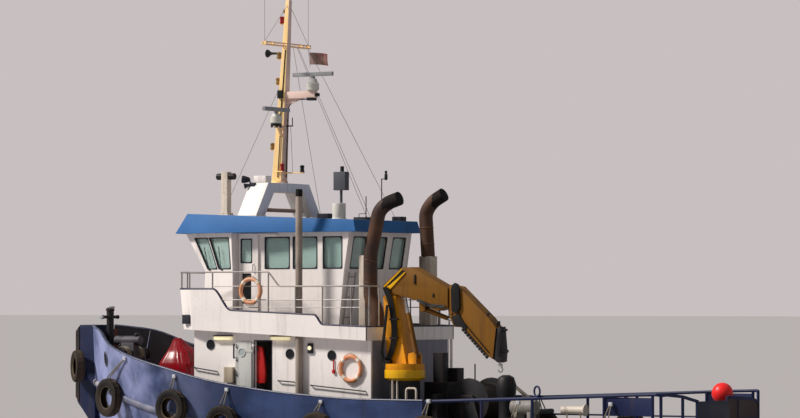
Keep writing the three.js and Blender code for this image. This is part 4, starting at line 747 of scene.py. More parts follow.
def tyre(centre, heading, diameter):
    """A hollow tyre: walls and crown outside, lining inside, with blocks of tread on the crown."""
    centre = Vector(centre)
    radius = diameter / 2
    out, side = tyre_way(heading)
    outer = [(r * radius, w * TYRE_HALF_WIDTH) for r, w in TYRE_SECTION]
    lining = [(r - 0.03, w * 0.8) for r, w in reversed(outer[2:9])]
    around = outer + [(r, -w) for r, w in reversed(outer)]
    around += [(r - 0.04, -w) for r, w in reversed(lining)] + lining
    sections = []
    for k in range(TYRE_STEPS):
        angle = 2 * math.pi * k / TYRE_STEPS
        away = side * math.cos(angle) + Vector((0, 0, math.sin(angle)))
        # Every other step of the crown stands a little lower, which makes the blocks.
        dip = TREAD_DEEP if k % 2 else 0.0
        sections.append([
            centre + away * (r - (dip if r > 0.97 * radius else 0)) + out * w for r, w in around])
    return lofted(sections + [sections[0]], capped=False)


def pad_eye_place(x):
    """Where a tyre's ropes are tied: under the rail, or on the hull's side abaft the bulwark."""
    if x > 7:
        # The ropes of the foremost one lead aft.
        return Vector((6.9, LINES[RAIL_HALF](6.9) + 0.02, LINES[RAIL_Z](6.9) - 0.14))
    if x > BULWARK_AFT:
        return Vector((x, LINES[RAIL_HALF](x) + 0.02, LINES[RAIL_Z](x) - 0.16))
    return Vector((x, 2.82, 1.9))


tyre_parts, lashing_parts, eye_parts = [], [], []
for centre, heading, diameter in TYRES:
    tyre_parts.append(tyre(centre, heading, diameter))
    on_knee = centre[0] > STEM_X
    if on_knee:
        continue
    out, along = tyre_way(heading)
    inside_crown = Vector(centre) + Vector((0, 0, diameter / 2 * 0.62)) - out * 0.1
    crown = Vector(centre) + Vector((0, 0, diameter / 2 + 0.015))
    eye = pad_eye_place(centre[0])
    for shift in (-0.06, 0.06):
        beside = crown + along * shift
        route = [inside_crown, beside - out * 0.02 - Vector((0, 0, 0.02)), beside + Vector((0, 0, 0.02)),
                 eye + along * shift * 0.3]
        lashing_parts.append(bent_bar(rounded_path(route, 0.03, 3), 0.016, 6))
    eye_parts.append(block(eye.x - 0.05, eye.x + 0.05, eye.y - 0.05, eye.y + 0.03,
                           eye.z - 0.04, eye.z + 0.06))
on_boat("tyre_fenders", "black_paint", tyre_rubber, both_sides(tyre_parts), smooth=25)
on_boat("tyre_lashings", "black_paint", rope_coat, both_sides(lashing_parts))
on_boat("tyre_pad_eyes", "white_paint", pad_coat, both_sides(eye_parts), bevel=0.008)

# Deck hatches
# Raised steel hatches with flat lids, each held down by four small dogs. Aft end, fore end, half
# breadth and top of each.
HATCHES = [(-6.2, -5.3, 0.5, 1.35), (-8.2, -7.3, 0.5, 1.35), (5.05, 5.65, 0.35, 2.15)]
LID_OVER, LID_THICK = 0.02, 0.05
black_coat = coat("black_gear", (24, 25, 31), (48, 47, 52), fading=0.6, rust=0.5, sheen=0.5, edges=0.02)
hatch_parts, dog_parts = [], []
for x0, x1, half, top in HATCHES:
    over = half + LID_OVER
    hatch_parts.append(block(x0, x1, -half, half, deck_height(x1) - 0.1, top - LID_THICK))
    hatch_parts.append(block(x0 - LID_OVER, x1 + LID_OVER, -over, over, top - LID_THICK, top))
    for x in (x0 + 0.15, x1 - 0.15):
        for y in (-over, over):
            dog_parts.append(bar((x, y, top - 0.1), (x, y, top - 0.01), 0.022, 8))
on_boat("deck_hatches", "hull_paint", deck_coat, hatch_parts, bevel=0.02)
on_boat("hatch_dogs", "black_paint", black_coat, dog_parts)

# Bitts
# Black steel posts with a cross bar for the mooring lines, welded to the deck. The tall one
# stands in the bow and has pale caps.
TALL_BITT_X, TALL_BITT_HIGH, TALL_BITT_SHARE = 9.15, 1.96, 0.875


def bitt(x, y, radius, height, cross, share=0.72):
    """A post with a collar at its foot and head, and a bar across it at a share of its height."""
    base = deck_height(x)
    post = turned_between((x, y, base - 0.02), (x, y, base + height), [
        (0, radius * 1.25), (0.05, radius * 1.25), (0.06, radius), (height - 0.06, radius),
        (height - 0.05, radius * 1.18), (height + 0.005, radius * 1.18), (height + 0.02, radius * 0.9)], 24)
    z = base + height * share
    arm = turned_between((x, y - cross, z), (x, y + cross, z), [
        (0, radius * 0.3), (0.015, radius * 0.55), (0.05, radius * 0.55), (0.06, radius * 0.42),
        (2 * cross - 0.06, radius * 0.42), (2 * cross - 0.05, radius * 0.55),
        (2 * cross - 0.015, radius * 0.55), (2 * cross, radius * 0.3)], 16)
    return [post, arm]


on_boat("deck_bitts", "hull_paint", black_coat,
        bitt(7.9, 0, 0.13, 0.6, 0.3) + both_sides(bitt(-8.8, 2.25, 0.1, 0.6, 0.26)))
tall_bitt = on_boat("bow_bitt_post", "black_paint", black_coat,
                    bitt(TALL_BITT_X, 0, 0.105, TALL_BITT_HIGH, 0.38, TALL_BITT_SHARE))
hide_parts("bow_bitt")
arm_z = deck_height(TALL_BITT_X) + TALL_BITT_HIGH * TALL_BITT_SHARE
bitt_caps = [
    turned_between((TALL_BITT_X, 0, 4.308), (TALL_BITT_X, 0, 4.369),
                   [(0, 0.128), (0.03, 0.135), (0.055, 0.12), (0.061, 0.05)], 24),
    bar((TALL_BITT_X, 0.36, arm_z), (TALL_BITT_X, 0.44, arm_z), 0.06, 16)]
on_boat("bow_bitt_cap", "black_paint", pad_coat, bitt_caps, bevel=0.01)

# Deckhouse walls and portholes
# White painted steel walls, welded on the deck. The after wall is painted a bluish grey, which is painted
# shade.
# Each porthole is a dark pane in a bolted black ring, given by its x and height.
HOUSE_SIDE = 1.95
ACROSS = (0, 1, 0)
PORTHOLES = [(4.25, 3.32), (1.64, 3.09), (0.29, 3.06)]
PORTHOLE_RADIUS = 0.12
white_coat = coat("white_steel", (247, 240, 238), (224, 216, 213), fading=0.35, runs=0.35, rust=0.25,
                  sheen=0.42, grime=(158, 147, 140), plates=0.35)
house_painted_shade_coat = coat("white_painted_shade", (132, 131, 146), (112, 110, 124), runs=0.5, rust=0.25,
                sheen=0.5, grime=(112, 106, 110), plates=0.35)
trim_coat = coat("black_trim", (30, 32, 44), (60, 60, 70), fading=0.4, runs=0.1, rust=0.2)
port_glass_coat = coat("dark_port_glass", (22, 26, 30), (30, 34, 36), fading=0.3, runs=0.0, rust=0.0,
                       sheen=0.08)


def painted(nodes, material):
    """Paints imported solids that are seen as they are."""
    for node in nodes:
        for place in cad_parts[node].material_slots:
            place.material = material


def ring(centre, axis, radius, thick, turns=28, sides=10):
    """A round bar bent to a ring about an axis."""
    turn = Vector(axis).to_track_quat("Z", "Y")
    angles = [2 * math.pi * k / turns for k in range(turns)]
    circle = [Vector((radius * math.cos(a), radius * math.sin(a), 0)) for a in angles]
    return bent_bar([Vector(centre) + turn @ point for point in circle], thick, sides, closed=True)


def disc(centre, axis, radius, thick, sides=28):
    """A flat round plate about an axis."""
    centre, axis = Vector(centre), Vector(axis).normalized()
    return bar(centre - axis * thick / 2, centre + axis * thick / 2, radius, sides)


def round_spot(centre, radius, angle, out=0.0):
    """A point of a circle that faces the side, and stands out from its centre."""
    x, y, z = centre
    return Vector((x + radius * math.cos(angle), y + out, z + radius * math.sin(angle)))


painted(["deckhouse_port_wall", "deckhouse_starboard_wall", "deckhouse_front_wall"], white_coat)
# The after wall takes the bluish grey of painted shade.
painted(["deckhouse_aft_wall"], house_painted_shade_coat)
painted(["deckhouse_floor"], deck_coat)
port_rings, port_glasses = [], []
for x, z in PORTHOLES:
    port_rings.append(ring((x, HOUSE_SIDE + 0.008, z), ACROSS, PORTHOLE_RADIUS, 0.018))
    port_glasses.append(disc((x, HOUSE_SIDE + 0.006, z), ACROSS, 0.112, 0.012))
    for k in range(6):
        bolt = round_spot((x, HOUSE_SIDE, z), PORTHOLE_RADIUS, math.pi * (k + 0.5) / 3, 0.02)
        port_rings.append(bar(bolt, bolt + Vector((0, 0.014, 0)), 0.01, 6))
on_boat("house_port_rings", "black_paint", trim_coat, both_sides(port_rings))
on_boat("house_port_glasses", "black_paint", port_glass_coat, both_sides(port_glasses))

# Fittings on the house sides
# Small painted gear screwed to each side wall: lamps under their hoods, a box, the flat rubber
# gasket round the doorway, grab rails of bent bar and a red pull.
GASKET_PROUD = 0.0045
DOORWAY_GASKET = [(2.215, 2.25, 1.5, 3.455), (2.78, 2.815, 1.5, 3.455), (2.25, 2.78, 3.42, 3.455),
                  (2.215, 2.815, 1.465, 1.5)]
LONG_LAMPS = [(3.53, 4.07), (1.63, 2.19)]
LAMP_LOW, LAMP_TOP, HOOD_TOP = 3.46, 3.55, 3.58
GRAB_RAILS = [((4.78, 2.7), (4.04, 2.6)), ((2.0, 2.37), (1.5, 2.34)), ((0.94, 2.26), (-0.78, 2.12))]
GRAB_REACH = 0.07
STAY_X, PULL_X = 3.45, 0.215
lamp_coat = coat("pale_lamp", (250, 240, 196), (240, 230, 190), fading=0.2, runs=0.1, rust=0.0, sheen=0.3)
# The lamps glow faintly, which is painted light standing in for sunlight that a shadow keeps off them.
lamp_surface = lamp_coat.node_tree.nodes["Principled BSDF"]
lamp_surface.inputs["Emission Color"].default_value = mixed(255, 238, 190)
lamp_surface.inputs["Emission Strength"].default_value = 0.5
beige_coat = coat("beige_box", (190, 176, 156), (160, 146, 130), runs=0.5, rust=0.4,
                  sheen=0.5)
red_coat = coat("red_gear", (190, 30, 30), (150, 40, 36), fading=0.4, runs=0.2, rust=0.1, sheen=0.35)


def on_house(x0, x1, z0, z1, proud):
    """A block that stands proud of the port side wall."""
    return block(x0, x1, HOUSE_SIDE, HOUSE_SIDE + proud, z0, z1)


lamps = [on_house(x0, x1, LAMP_LOW, LAMP_TOP, 0.12) for x0, x1 in LONG_LAMPS]
lamps.append(disc((0.96, HOUSE_SIDE + 0.07, 3.25), ACROSS, 0.055, 0.04, 16))
trims = [on_house(x0 - 0.02, x1 + 0.02, LAMP_TOP, HOOD_TOP, 0.13) for x0, x1 in LONG_LAMPS]
trims.append(on_house(0.88, 1.04, 3.11, 3.38, 0.05))
trims.append(bar((STAY_X, HOUSE_SIDE + 0.045, 2.95), (STAY_X, HOUSE_SIDE + 0.045, 3.35), 0.022, 8))
for z in (2.98, 3.32):
    trims.append(bar((STAY_X, HOUSE_SIDE, z), (STAY_X, HOUSE_SIDE + 0.05, z), 0.016, 8))
grabs = []
for (x0, z0), (x1, z1) in GRAB_RAILS:
    reach_y = HOUSE_SIDE + GRAB_REACH
    route = [(x0, HOUSE_SIDE, z0), (x0, reach_y, z0), (x1, reach_y, z1), (x1, HOUSE_SIDE, z1)]
    grabs.append(bent_bar(rounded_path(route, 0.03, 4), 0.017, 8))
pulls = [bar((PULL_X, HOUSE_SIDE + 0.03, 2.95), (PULL_X, HOUSE_SIDE + 0.03, 2.66), 0.018, 8),
         on_house(0.18, 0.25, 2.58, 2.68, 0.06)]
gasket_strips = [on_house(*strip, GASKET_PROUD) for strip in DOORWAY_GASKET]
boxes = [on_house(3.43, 3.73, 2.3, 2.72, 0.13)]
on_boat("house_side_trims", "black_paint", trim_coat, both_sides(trims), bevel=0.004)
on_boat("house_door_gaskets", "black_paint", trim_coat, both_sides(gasket_strips))
on_boat("house_side_lamps", "white_paint", lamp_coat, both_sides(lamps), bevel=0.012)
on_boat("house_side_boxes", "grey_paint", beige_coat, both_sides(boxes), bevel=0.012)
on_boat("house_grab_rails", "black_paint", trim_coat, both_sides(grabs))
on_boat("house_red_pulls", "red_cover", red_coat, both_sides(pulls), bevel=0.006)

# Red gear in the doorway
# Bundle of red cloth gear, which hangs from a steel hook just inside the port doorway and shows
# while the door is open.
RED_GEAR = [(2.52, 2.3), (2.76, 2.29), (2.79, 2.7), (2.76, 3.1), (2.7, 3.29), (2.6, 3.26), (2.54, 2.95),
            (2.5, 2.6)]
hook = bar((2.71, 1.84, 3.26), (2.84, 1.92, 3.3), 0.012, 8)
on_boat("red_gear_in_doorway", "red_cover", red_coat, [plate(RED_GEAR, 1.8, 1.88), hook],
        bevel=0.03)

# Lifebuoys
# Orange plastic rings with pale bands and a grab line, hung on the house sides and the bridge
# rails. The ones on the rails are painted a paler orange, which is painted sunlight.
BUOY_RADIUS, BUOY_THICK, BAND_THICK = 0.32, 0.0565, 0.059
LINE_RADIUS, LINE_SLACK = 0.385, 0.02
orange_coat = coat("lifebuoy_orange", (214, 128, 78), (228, 176, 140), rust=0.0, sheen=0.5)
# The paler orange of the rail buoys is painted sunlight.
pale_orange_coat = coat("pale_lifebuoy_orange", (214, 150, 112), (228, 190, 164), rust=0.0,
                        sheen=0.5)
band_coat = coat("lifebuoy_band", (232, 222, 206), (210, 196, 180), fading=0.4, rust=0.0, sheen=0.4)
for name, centre, ring_coat in (("house", (-0.34, 1.99, 2.71), orange_coat),
                                ("bridge", (2.73, 2.237, 4.78), pale_orange_coat)):
    bands = []
    for k in range(4):
        arc = [math.pi / 4 + math.pi / 2 * k + (step - 3) * 0.05 for step in range(7)]
        bands.append(bent_bar([round_spot(centre, BUOY_RADIUS, a) for a in arc], BAND_THICK, 14))
    line = []
    for k in range(48):
        angle = 2 * math.pi * k / 48
        line.append(round_spot(centre, LINE_RADIUS + LINE_SLACK * math.cos(4 * angle), angle, 0.02))
    on_boat(f"{name}_lifebuoys", "buoy_plastic", ring_coat,
            both_sides([ring(centre, ACROSS, BUOY_RADIUS, BUOY_THICK, 40, 14)]))
    on_boat(f"{name}_lifebuoy_bands", "white_paint", band_coat, both_sides(bands))
    on_boat(f"{name}_lifebuoy_lines", "white_paint", rope_coat,
            both_sides([bent_bar(line, 0.008, 6, closed=True)]))

# Deckhouse doors
# Steel leaf with rounded corners, a round light, hinge straps and dogs. The port one stands
# folded open against the wall and the starboard one is shut.
DOOR_LOW, DOOR_HIGH = 1.515, 3.405
DOOR_HINGES = (1.75, 3.15)
DOOR_DOGS = (1.7, 2.1, 2.5, 2.9, 3.25)
DOOR_LIGHT_Z = 3.12
HINGE_X, HINGE_Y = 2.82, 1.985
door_coat = coat("door_grey_white", (196, 196, 194), (176, 174, 170), fading=0.4, runs=0.4, rust=0.3,
                 sheen=0.4)
pale_glass_coat = coat("pale_port_glass", (168, 176, 178), (146, 152, 154), runs=0.1, rust=0.0,
                       sheen=0.2)


def flat_round(corners, bend):
    """A closed outline in two axes with its corners rounded off."""
    corners = [Vector(corner) for corner in corners]
    path = []
    for i, corner in enumerate(corners):
        path += corner_curve(corners[i - 1], corner, corners[(i + 1) % len(corners)], bend)
    return [tuple(point) for point in path]


# Straps, dogs and the light's thick ring are on the inner face, which shows on the open door.
for name, body, x0, x1, y0, y1, side, pane_coat in (
        ("port", "port_house_door", 2.865, 3.395, 1.962, 2.007, 1, pale_glass_coat),
        ("starboard", "starboard_house_door", 2.242, 2.772, -2.007, -1.962, -1, port_glass_coat)):
    corners = [(x0, DOOR_LOW), (x1, DOOR_LOW), (x1, DOOR_HIGH), (x0, DOOR_HIGH)]
    hinge_x, free_x = (x0 - 0.045, x1 - 0.05) if side > 0 else (x1 + 0.048, x0 + 0.05)
    middle = (x0 + x1) / 2
    strap_x0, strap_x1 = sorted((hinge_x, middle - 0.05 * side))
    straps, knuckles, dogs = [], [], []
    for z in DOOR_HINGES:
        straps.append(block(strap_x0, strap_x1, y1, y1 + 0.0075, z - 0.03, z + 0.03))
        pin_y = HINGE_Y * side
        knuckles.append(bar((HINGE_X, pin_y, z - 0.066), (HINGE_X, pin_y, z + 0.066), 0.0205))
    for z in DOOR_DOGS:
        dogs.append(bar((free_x, y1, z), (free_x, y1 + 0.03, z), 0.014, 8))
        dogs.append(bar((free_x, y1 + 0.026, z - 0.01), (free_x - 0.01, y1 + 0.026, z + 0.1), 0.01, 8))
    light_x = middle + 0.04
    light_rings = [ring((light_x, y1 + 0.004, DOOR_LIGHT_Z), ACROSS, 0.11, 0.016),
                   ring((light_x, y0, DOOR_LIGHT_Z), ACROSS, 0.11, 0.008)]
    panes = [disc((light_x, y, DOOR_LIGHT_Z), ACROSS, 0.1, 0.008) for y in (y1 + 0.002, y0)]
    leaf = fitted(f"{name}_house_door_leaf", body, "white_paint", [door_coat],
                  [plate(flat_round(corners, 0.08), y0, y1)], bevel=0.006)
    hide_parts(f"deckhouse_door_{name}")
    fitted(f"{name}_house_door_straps", body, "white_paint", [door_coat], straps + knuckles, bevel=0.003)
    fitted(f"{name}_house_door_dogs", body, "black_paint", [trim_coat], dogs)
    fitted(f"{name}_house_door_port_ring", body, "white_paint", [door_coat], light_rings)
    fitted(f"{name}_house_door_port_glass", body, "black_paint", [pane_coat], panes)

# Bridge deck and its bulwark
# Walkway of steel plate round the wheelhouse, with a white bulwark welded on its edge. The top
# sweeps down abaft the sidelights in two smooth curves and carries a blue-black trim.
DECK_AFT, DECK_SIDE = -0.95, 2.2
AFT_BOARD_TOP = 3.83
RAIL_BASE = 4.84
FRONT_LEAN, WALL = 0.125, 0.05
BRIDGE_CORNER = [(4.7, 2.2, 0), (4.78, 2.2, 0), (5.14, 2.11, 0), (5.36, 1.86, 0), (5.5, 1.35, 0),
                 (5.5, 0.6, 0)]
rim_coat = coat("dark_rim", (44, 43, 74), (66, 64, 94), fading=0.4, runs=0.1, rust=0.2)


def smooth_step(value, low, high):
    """A share that rises smoothly from 0 at low to 1 at high."""
    t = min(max((value - low) / (high - low), 0.0), 1.0)
    return t * t * (3 - 2 * t)


def bridge_under(x):
    """Height of the bulwark's foot along the side."""
    return 3.46 + (3.74 - 3.46) * (x + 0.95) / 6.0


def bridge_rim(x):
    """Height of the bulwark's top along the side."""
    aft = AFT_BOARD_TOP + 0.05 * min((x + 0.95) / 1.4, 1)
    middle = 4.14 + 0.12 * min(max((x - 0.68) / 2.79, 0), 1)
    level = aft + (middle - aft) * smooth_step(x, 0.43, 0.7)
    return level + (RAIL_BASE - level) * smooth_step(x, 3.42, 4.02)


def refined(name, node, body, coats, bevel=0.01, coat_of=None):
    """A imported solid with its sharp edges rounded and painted, which stands for the plain one."""
    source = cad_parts[node].data
    points = [tuple(corner.co) for corner in source.vertices]
    work = meshed([(points, [tuple(face.vertices) for face in source.polygons])], 0.0002)
    bmesh.ops.dissolve_limit(work, angle_limit=math.radians(1.2), verts=work.verts, edges=work.edges)
    piece = finished(name, work, body, coats, bevel, 38, 35, coat_of)
    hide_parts(node)
    return piece


refined("bridge_deck_plate", "bridge_deck", "boat", [white_coat, deck_coat], bevel=0.0,
        coat_of=lambda centre, normal: 1 if normal.z > 0.9 else 0)
plan = [(x, DECK_SIDE) for x in spaced(DECK_AFT, 4.6, 90)]
plan += [(p.x, p.y) for p in rounded_path(BRIDGE_CORNER, 0.22)]
rim_sections, rim_path = [], []
for i, (x, y) in enumerate(plan):
    x0, y0 = plan[max(i - 1, 0)]
    x1, y1 = plan[min(i + 1, len(plan) - 1)]
    along = Vector((x1 - x0, y1 - y0, 0)).normalized()
    inward = Vector((along.y, -along.x, 0)) * WALL
    lean = FRONT_LEAN * smooth_step(x, 4.2, 5.1)
    top, foot = Vector((x, y, bridge_rim(x))), Vector((x - lean, y, bridge_under(x - lean)))
    outside = [foot, foot.lerp(top, 0.5), top]
    rim_sections.append(outside + [point + inward for point in reversed(outside)])
    rim_path.append(top + inward / 2)
starboard_rim = [[Vector((p.x, -p.y, p.z)) for p in rows] for rows in reversed(rim_sections)]
trim_path = rim_path + [Vector((p.x, -p.y, p.z)) for p in reversed(rim_path)]
aft_trim = [Vector((-0.928, y, AFT_BOARD_TOP)) for y in (2.19, 0, -2.19)]
aft_board = block(DECK_AFT, -0.905, -2.19, 2.19, 3.4621, AFT_BOARD_TOP)
bulwark_piece = on_boat("bridge_bulwark_plating", "white_paint", white_coat,
                        [lofted(rim_sections + starboard_rim), aft_board], smooth=30)
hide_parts("bridge_bulwark")
on_boat("bridge_bulwark_trim", "black_paint", rim_coat,
        [bent_bar(trim_path, 0.042, 8, flat=0.6), bent_bar(aft_trim, 0.038, 8, flat=0.6)])
on_boat("sidelight_boxes", "black_paint", trim_coat,
        both_sides([block(4.775, 5.015, 2.14, 2.225, 3.885, 4.135)]), bevel=0.01)
on_boat("bridge_deck_post", "white_paint", white_coat,
        [bar((-0.93, -2.1, 1.1), (-0.93, -2.1, 3.46), 0.04)])

# Bridge rails
# Galvanised tube rails welded on the bulwark, with three rows of rods along the sides. The top
# rail steps down abaft the wheelhouse door.
RAIL_Y, RAIL_TOP, RAIL_LOW = 2.175, 5.29, 4.9
RAIL_AFT, AFT_RAIL_X, FRONT_RAIL_X = -0.78, -0.927, 5.475
POST = 0.021
FRONT_LINE = [(4.8, 2.175), (5.125, 2.09), (5.34, 1.845), (5.475, 1.345)]
rail_coat = coat("galvanised_rail", (150, 144, 142), (176, 168, 164), fading=0.6, runs=0.2, rust=0.4,
                 sheen=0.4, metallic=0.3)

top_line = [(4.8, RAIL_Y, RAIL_TOP), (2.19, RAIL_Y, RAIL_TOP), (1.84, RAIL_Y, RAIL_LOW),
            (RAIL_AFT, RAIL_Y, RAIL_LOW), (AFT_RAIL_X, 2.0, RAIL_LOW), (AFT_RAIL_X, 1.52, RAIL_LOW)]
side_rails = [bent_bar(rounded_path(top_line, 0.06), 0.0225, 10)]
for fore, z in ((4.01, 4.905), (3.74, 4.54), (3.54, 4.336)):
    side_rails.append(bar((fore, RAIL_Y, z), (RAIL_AFT, RAIL_Y, z), 0.013, 8))
for x in (4.03, 3.06, 2.19, 1.31, 0.44, -0.467):
    head = RAIL_TOP if x > 2.1 else RAIL_LOW
    side_rails.append(bar((x, RAIL_Y, bridge_rim(x)), (x, RAIL_Y, head), POST, 8))
for y in (2.0, 1.52):
    side_rails.append(bar((AFT_RAIL_X, y, AFT_BOARD_TOP), (AFT_RAIL_X, y, RAIL_LOW), POST, 8))
for x, y in ((4.8, 2.17), (5.125, 2.085), (5.475, 1.34)):
    side_rails.append(bar((x, y, RAIL_BASE), (x, y, RAIL_TOP), POST, 8))
round_front = FRONT_LINE + [(x, -y) for x, y in reversed(FRONT_LINE)]
front_rail = bent_bar(rounded_path([(x, y, RAIL_TOP) for x, y in round_front], 0.15), 0.0225, 10)
front_post = bar((FRONT_RAIL_X, 0, RAIL_BASE), (FRONT_RAIL_X, 0, RAIL_TOP), POST, 8)
rails_piece = on_boat("bridge_rail_tubes", "white_paint", rail_coat,
                      both_sides(side_rails) + [front_rail, front_post])
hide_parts("bridge_rails")

# Wheelhouse walls and windows
# White steel walls with slim mullions and panes of green glass. Each opening has a black gasket
# with rounded corners, and the front and bay panes have wipers.
CABIN_SILL, CABIN_HEAD = 5.33, 6.3597
WINDOW_LOW, WINDOW_HIGH = 5.38, 6.23
WIPER_LOW, WIPER_HIGH = 5.36, 5.85
BAY_OUT, FRONT_OUT, AFT_OUT = (0.24, 0.97, -0.05), (0.82, 0, -0.57), (-1, 0, -0.16)
glass_coat = bpy.data.materials.new("green_window_glass")
glass_coat.use_nodes = True
glass_surface = glass_coat.node_tree.nodes["Principled BSDF"]
glass_surface.inputs["Base Color"].default_value = mixed(214, 242, 236)
glass_surface.inputs["Roughness"].default_value = 0.04
glass_surface.inputs["Transmission Weight"].default_value = 0.56
painted([f"wheelhouse_{side}_wall" for side in ("port", "starboard", "front", "aft")], white_coat)
painted([f"glass_{side}" for side in ("port", "starboard", "front", "aft")], glass_coat)


def share_up(z):
    """How far up the wheelhouse wall a height is, from 0 at its sill to 1 at its head."""
    return (z - CABIN_SILL) / (CABIN_HEAD - CABIN_SILL)


def front_x(z):
    """Where the outside of the front wall stands at a height."""
    return 4.75 + (5.48 - 4.75) * share_up(z)


def aft_x(z):
    """Where the outside of the after wall stands at a height."""
    return 0.17 - 0.17 * share_up(z)


def bay_spot(x, z):
    """A point on the outside of the port bay wall."""
    t = share_up(z)
    aft_half, fore_half = 1.79 + 0.07 * t, 1.512 + (1.4 - 1.512) * t
    return Vector((x, aft_half + (fore_half - aft_half) * (x - 3.64) / (front_x(z) - 3.64), z))


def gasket(corners, out, bend=0.09):
    """A flat black frame round an opening: square outside, rounded inside."""
    margin, lip, proud = 0.012, 0.02, 0.006
    corners = [Vector(corner) for corner in corners]
    out = Vector(out).normalized()
    sections = []
    for i, corner in enumerate(corners):
        before, after = corners[i - 1], corners[(i + 1) % len(corners)]
        back, on = (before - corner).normalized(), (after - corner).normalized()
        inner_corner = corner + (back + on) * lip
        first, last = inner_corner + back * bend, inner_corner + on * bend
        outer = corner - (back + on) * margin
        for k in range(6):
            t = k / 5
            inner = first * (1 - t) ** 2 + inner_corner * 2 * t * (1 - t) + last * t**2
            edge = outer + (back * 0.02 * (1 - t) + on * 0.02 * t)
            sections.append([edge + out * proud * 0.2, edge + out * proud,
                             inner + out * proud, inner - out * 0.03])
    return lofted(sections + [sections[0]], capped=False)


def wall_gasket(low, high, wall_x, out):
    """A gasket in the front or the after wall, between two values across the boat."""
    foot, head = wall_x(WINDOW_LOW), wall_x(WINDOW_HIGH)
    return gasket([(foot, low, WINDOW_LOW), (foot, high, WINDOW_LOW), (head, high, WINDOW_HIGH),
                   (head, low, WINDOW_HIGH)], out)


def wiper(low, high, out):
    """An arm with its blade, from a pivot under the pane to its middle."""
    low, high, out = Vector(low), Vector(high), Vector(out).normalized()
    half_blade = (high - low) * 0.275
    return [bar(low + out * 0.03, high + out * 0.03, 0.008, 6),
            bar(high - half_blade + out * 0.022, high + half_blade + out * 0.022, 0.011, 6),
            disc(low + out * 0.02, out, 0.024, 0.04, 12)]


side_gaskets, bay_wipers, end_gaskets = [], [], []
for low, high in ((0.23, 0.84), (1.035, 1.815), (1.93, 2.735)):
    side_gaskets.append(gasket([(low, 1.55, WINDOW_LOW), (high, 1.55, WINDOW_LOW), (high, 1.55, WINDOW_HIGH),
                                (low, 1.55, WINDOW_HIGH)], ACROSS))
for low_aft, low_fore, high_fore, high_aft in ((3.71, 4.2, 4.545, 3.75), (4.255, 4.65, 5.14, 4.6)):
    side_gaskets.append(gasket([bay_spot(low_aft, WINDOW_LOW), bay_spot(low_fore, WINDOW_LOW),
                                bay_spot(high_fore, WINDOW_HIGH), bay_spot(high_aft, WINDOW_HIGH)],
                               BAY_OUT, bend=0.06))
    bay_wipers += wiper(bay_spot((low_aft + low_fore) / 2 + 0.1, WIPER_LOW),
                        bay_spot((low_aft + high_fore) / 2, WIPER_HIGH), BAY_OUT)
for low, high in ((-1.21, -0.45), (-0.38, 0.38), (0.45, 1.21)):
    middle = (low + high) / 2
    end_gaskets.append(wall_gasket(low, high, front_x, FRONT_OUT))
    end_gaskets += wiper((front_x(WIPER_LOW), middle, WIPER_LOW),
                         (front_x(WIPER_HIGH), middle + 0.08, WIPER_HIGH), FRONT_OUT)
for low, high in ((-1.29, -0.65), (-0.35, 0.35), (0.65, 1.29)):
    end_gaskets.append(wall_gasket(low, high, aft_x, AFT_OUT))
on_boat("window_gaskets", "black_paint", trim_coat, both_sides(side_gaskets) + end_gaskets)
on_boat("bay_window_wipers", "black_paint", trim_coat, both_sides(bay_wipers))

# Wheelhouse ladder
# Galvanised ladder of bar up the after wall of the wheelhouse, near its port corner, from the
# bridge deck to the window sills.
LADDER_PORT, LADDER_STARBOARD = 1.4, 1.08
ladder = [bar((0.33, y, 3.62), (0.1, y, 5.28), 0.018, 8) for y in (LADDER_STARBOARD, LADDER_PORT)]
for k in range(6):
    z = 3.8 + 0.27 * k
    x = 0.33 - 0.139 * (z - 3.62)
    ladder.append(bar((x, LADDER_STARBOARD, z), (x, LADDER_PORT, z), 0.014, 8))
on_boat("wheelhouse_ladder", "white_paint", rail_coat, ladder)

# Wheelhouse sliding doors
# White steel leaf with a rounded window above, a dark panel below and a bar handle at its after
# edge. It hangs from a rail under the roof and slides aft along the outside of the wall.
for name, body, side in (("port", "port_cabin_door", 1), ("starboard", "starboard_cabin_door", -1)):
    face_y = 1.607 * side
    panel_low, panel_high = sorted((face_y, face_y + 0.004 * side))
    refined(f"{name}_cabin_door_leaf", f"sliding_door_{name}", body, [white_coat, glass_coat],
            bevel=0.004, coat_of=lambda centre, normal: 1 if (
                abs(normal.y) > 0.9 and 1.575 < abs(centre.y) < 1.593
                and 3.12 < centre.x < 3.5 and 5.54 < centre.z < 6.2) else 0)
    pane_frame = gasket([(3.13, face_y, 5.545), (3.49, face_y, 5.545), (3.49, face_y, 6.19),
                         (3.13, face_y, 6.19)], (0, side, 0), bend=0.05)
    panel = plate(flat_round([(3.15, 4.44), (3.49, 4.44), (3.49, 5.26), (3.15, 5.26)], 0.03),
                  panel_low, panel_high)
    grip_y = face_y + 0.045 * side
    grip = [(3.07, face_y, 5.3), (3.07, grip_y, 5.3), (3.07, grip_y, 5.5), (3.07, face_y, 5.5)]
    fitted(f"{name}_cabin_door_gasket", body, "black_paint", [trim_coat], [pane_frame])
    fitted(f"{name}_cabin_door_panel", body, "black_paint", [dark_coat], [panel])
    fitted(f"{name}_cabin_door_handle", body, "white_paint", [rail_coat],
           [bent_bar(rounded_path(grip, 0.02, 4), 0.01, 8)])

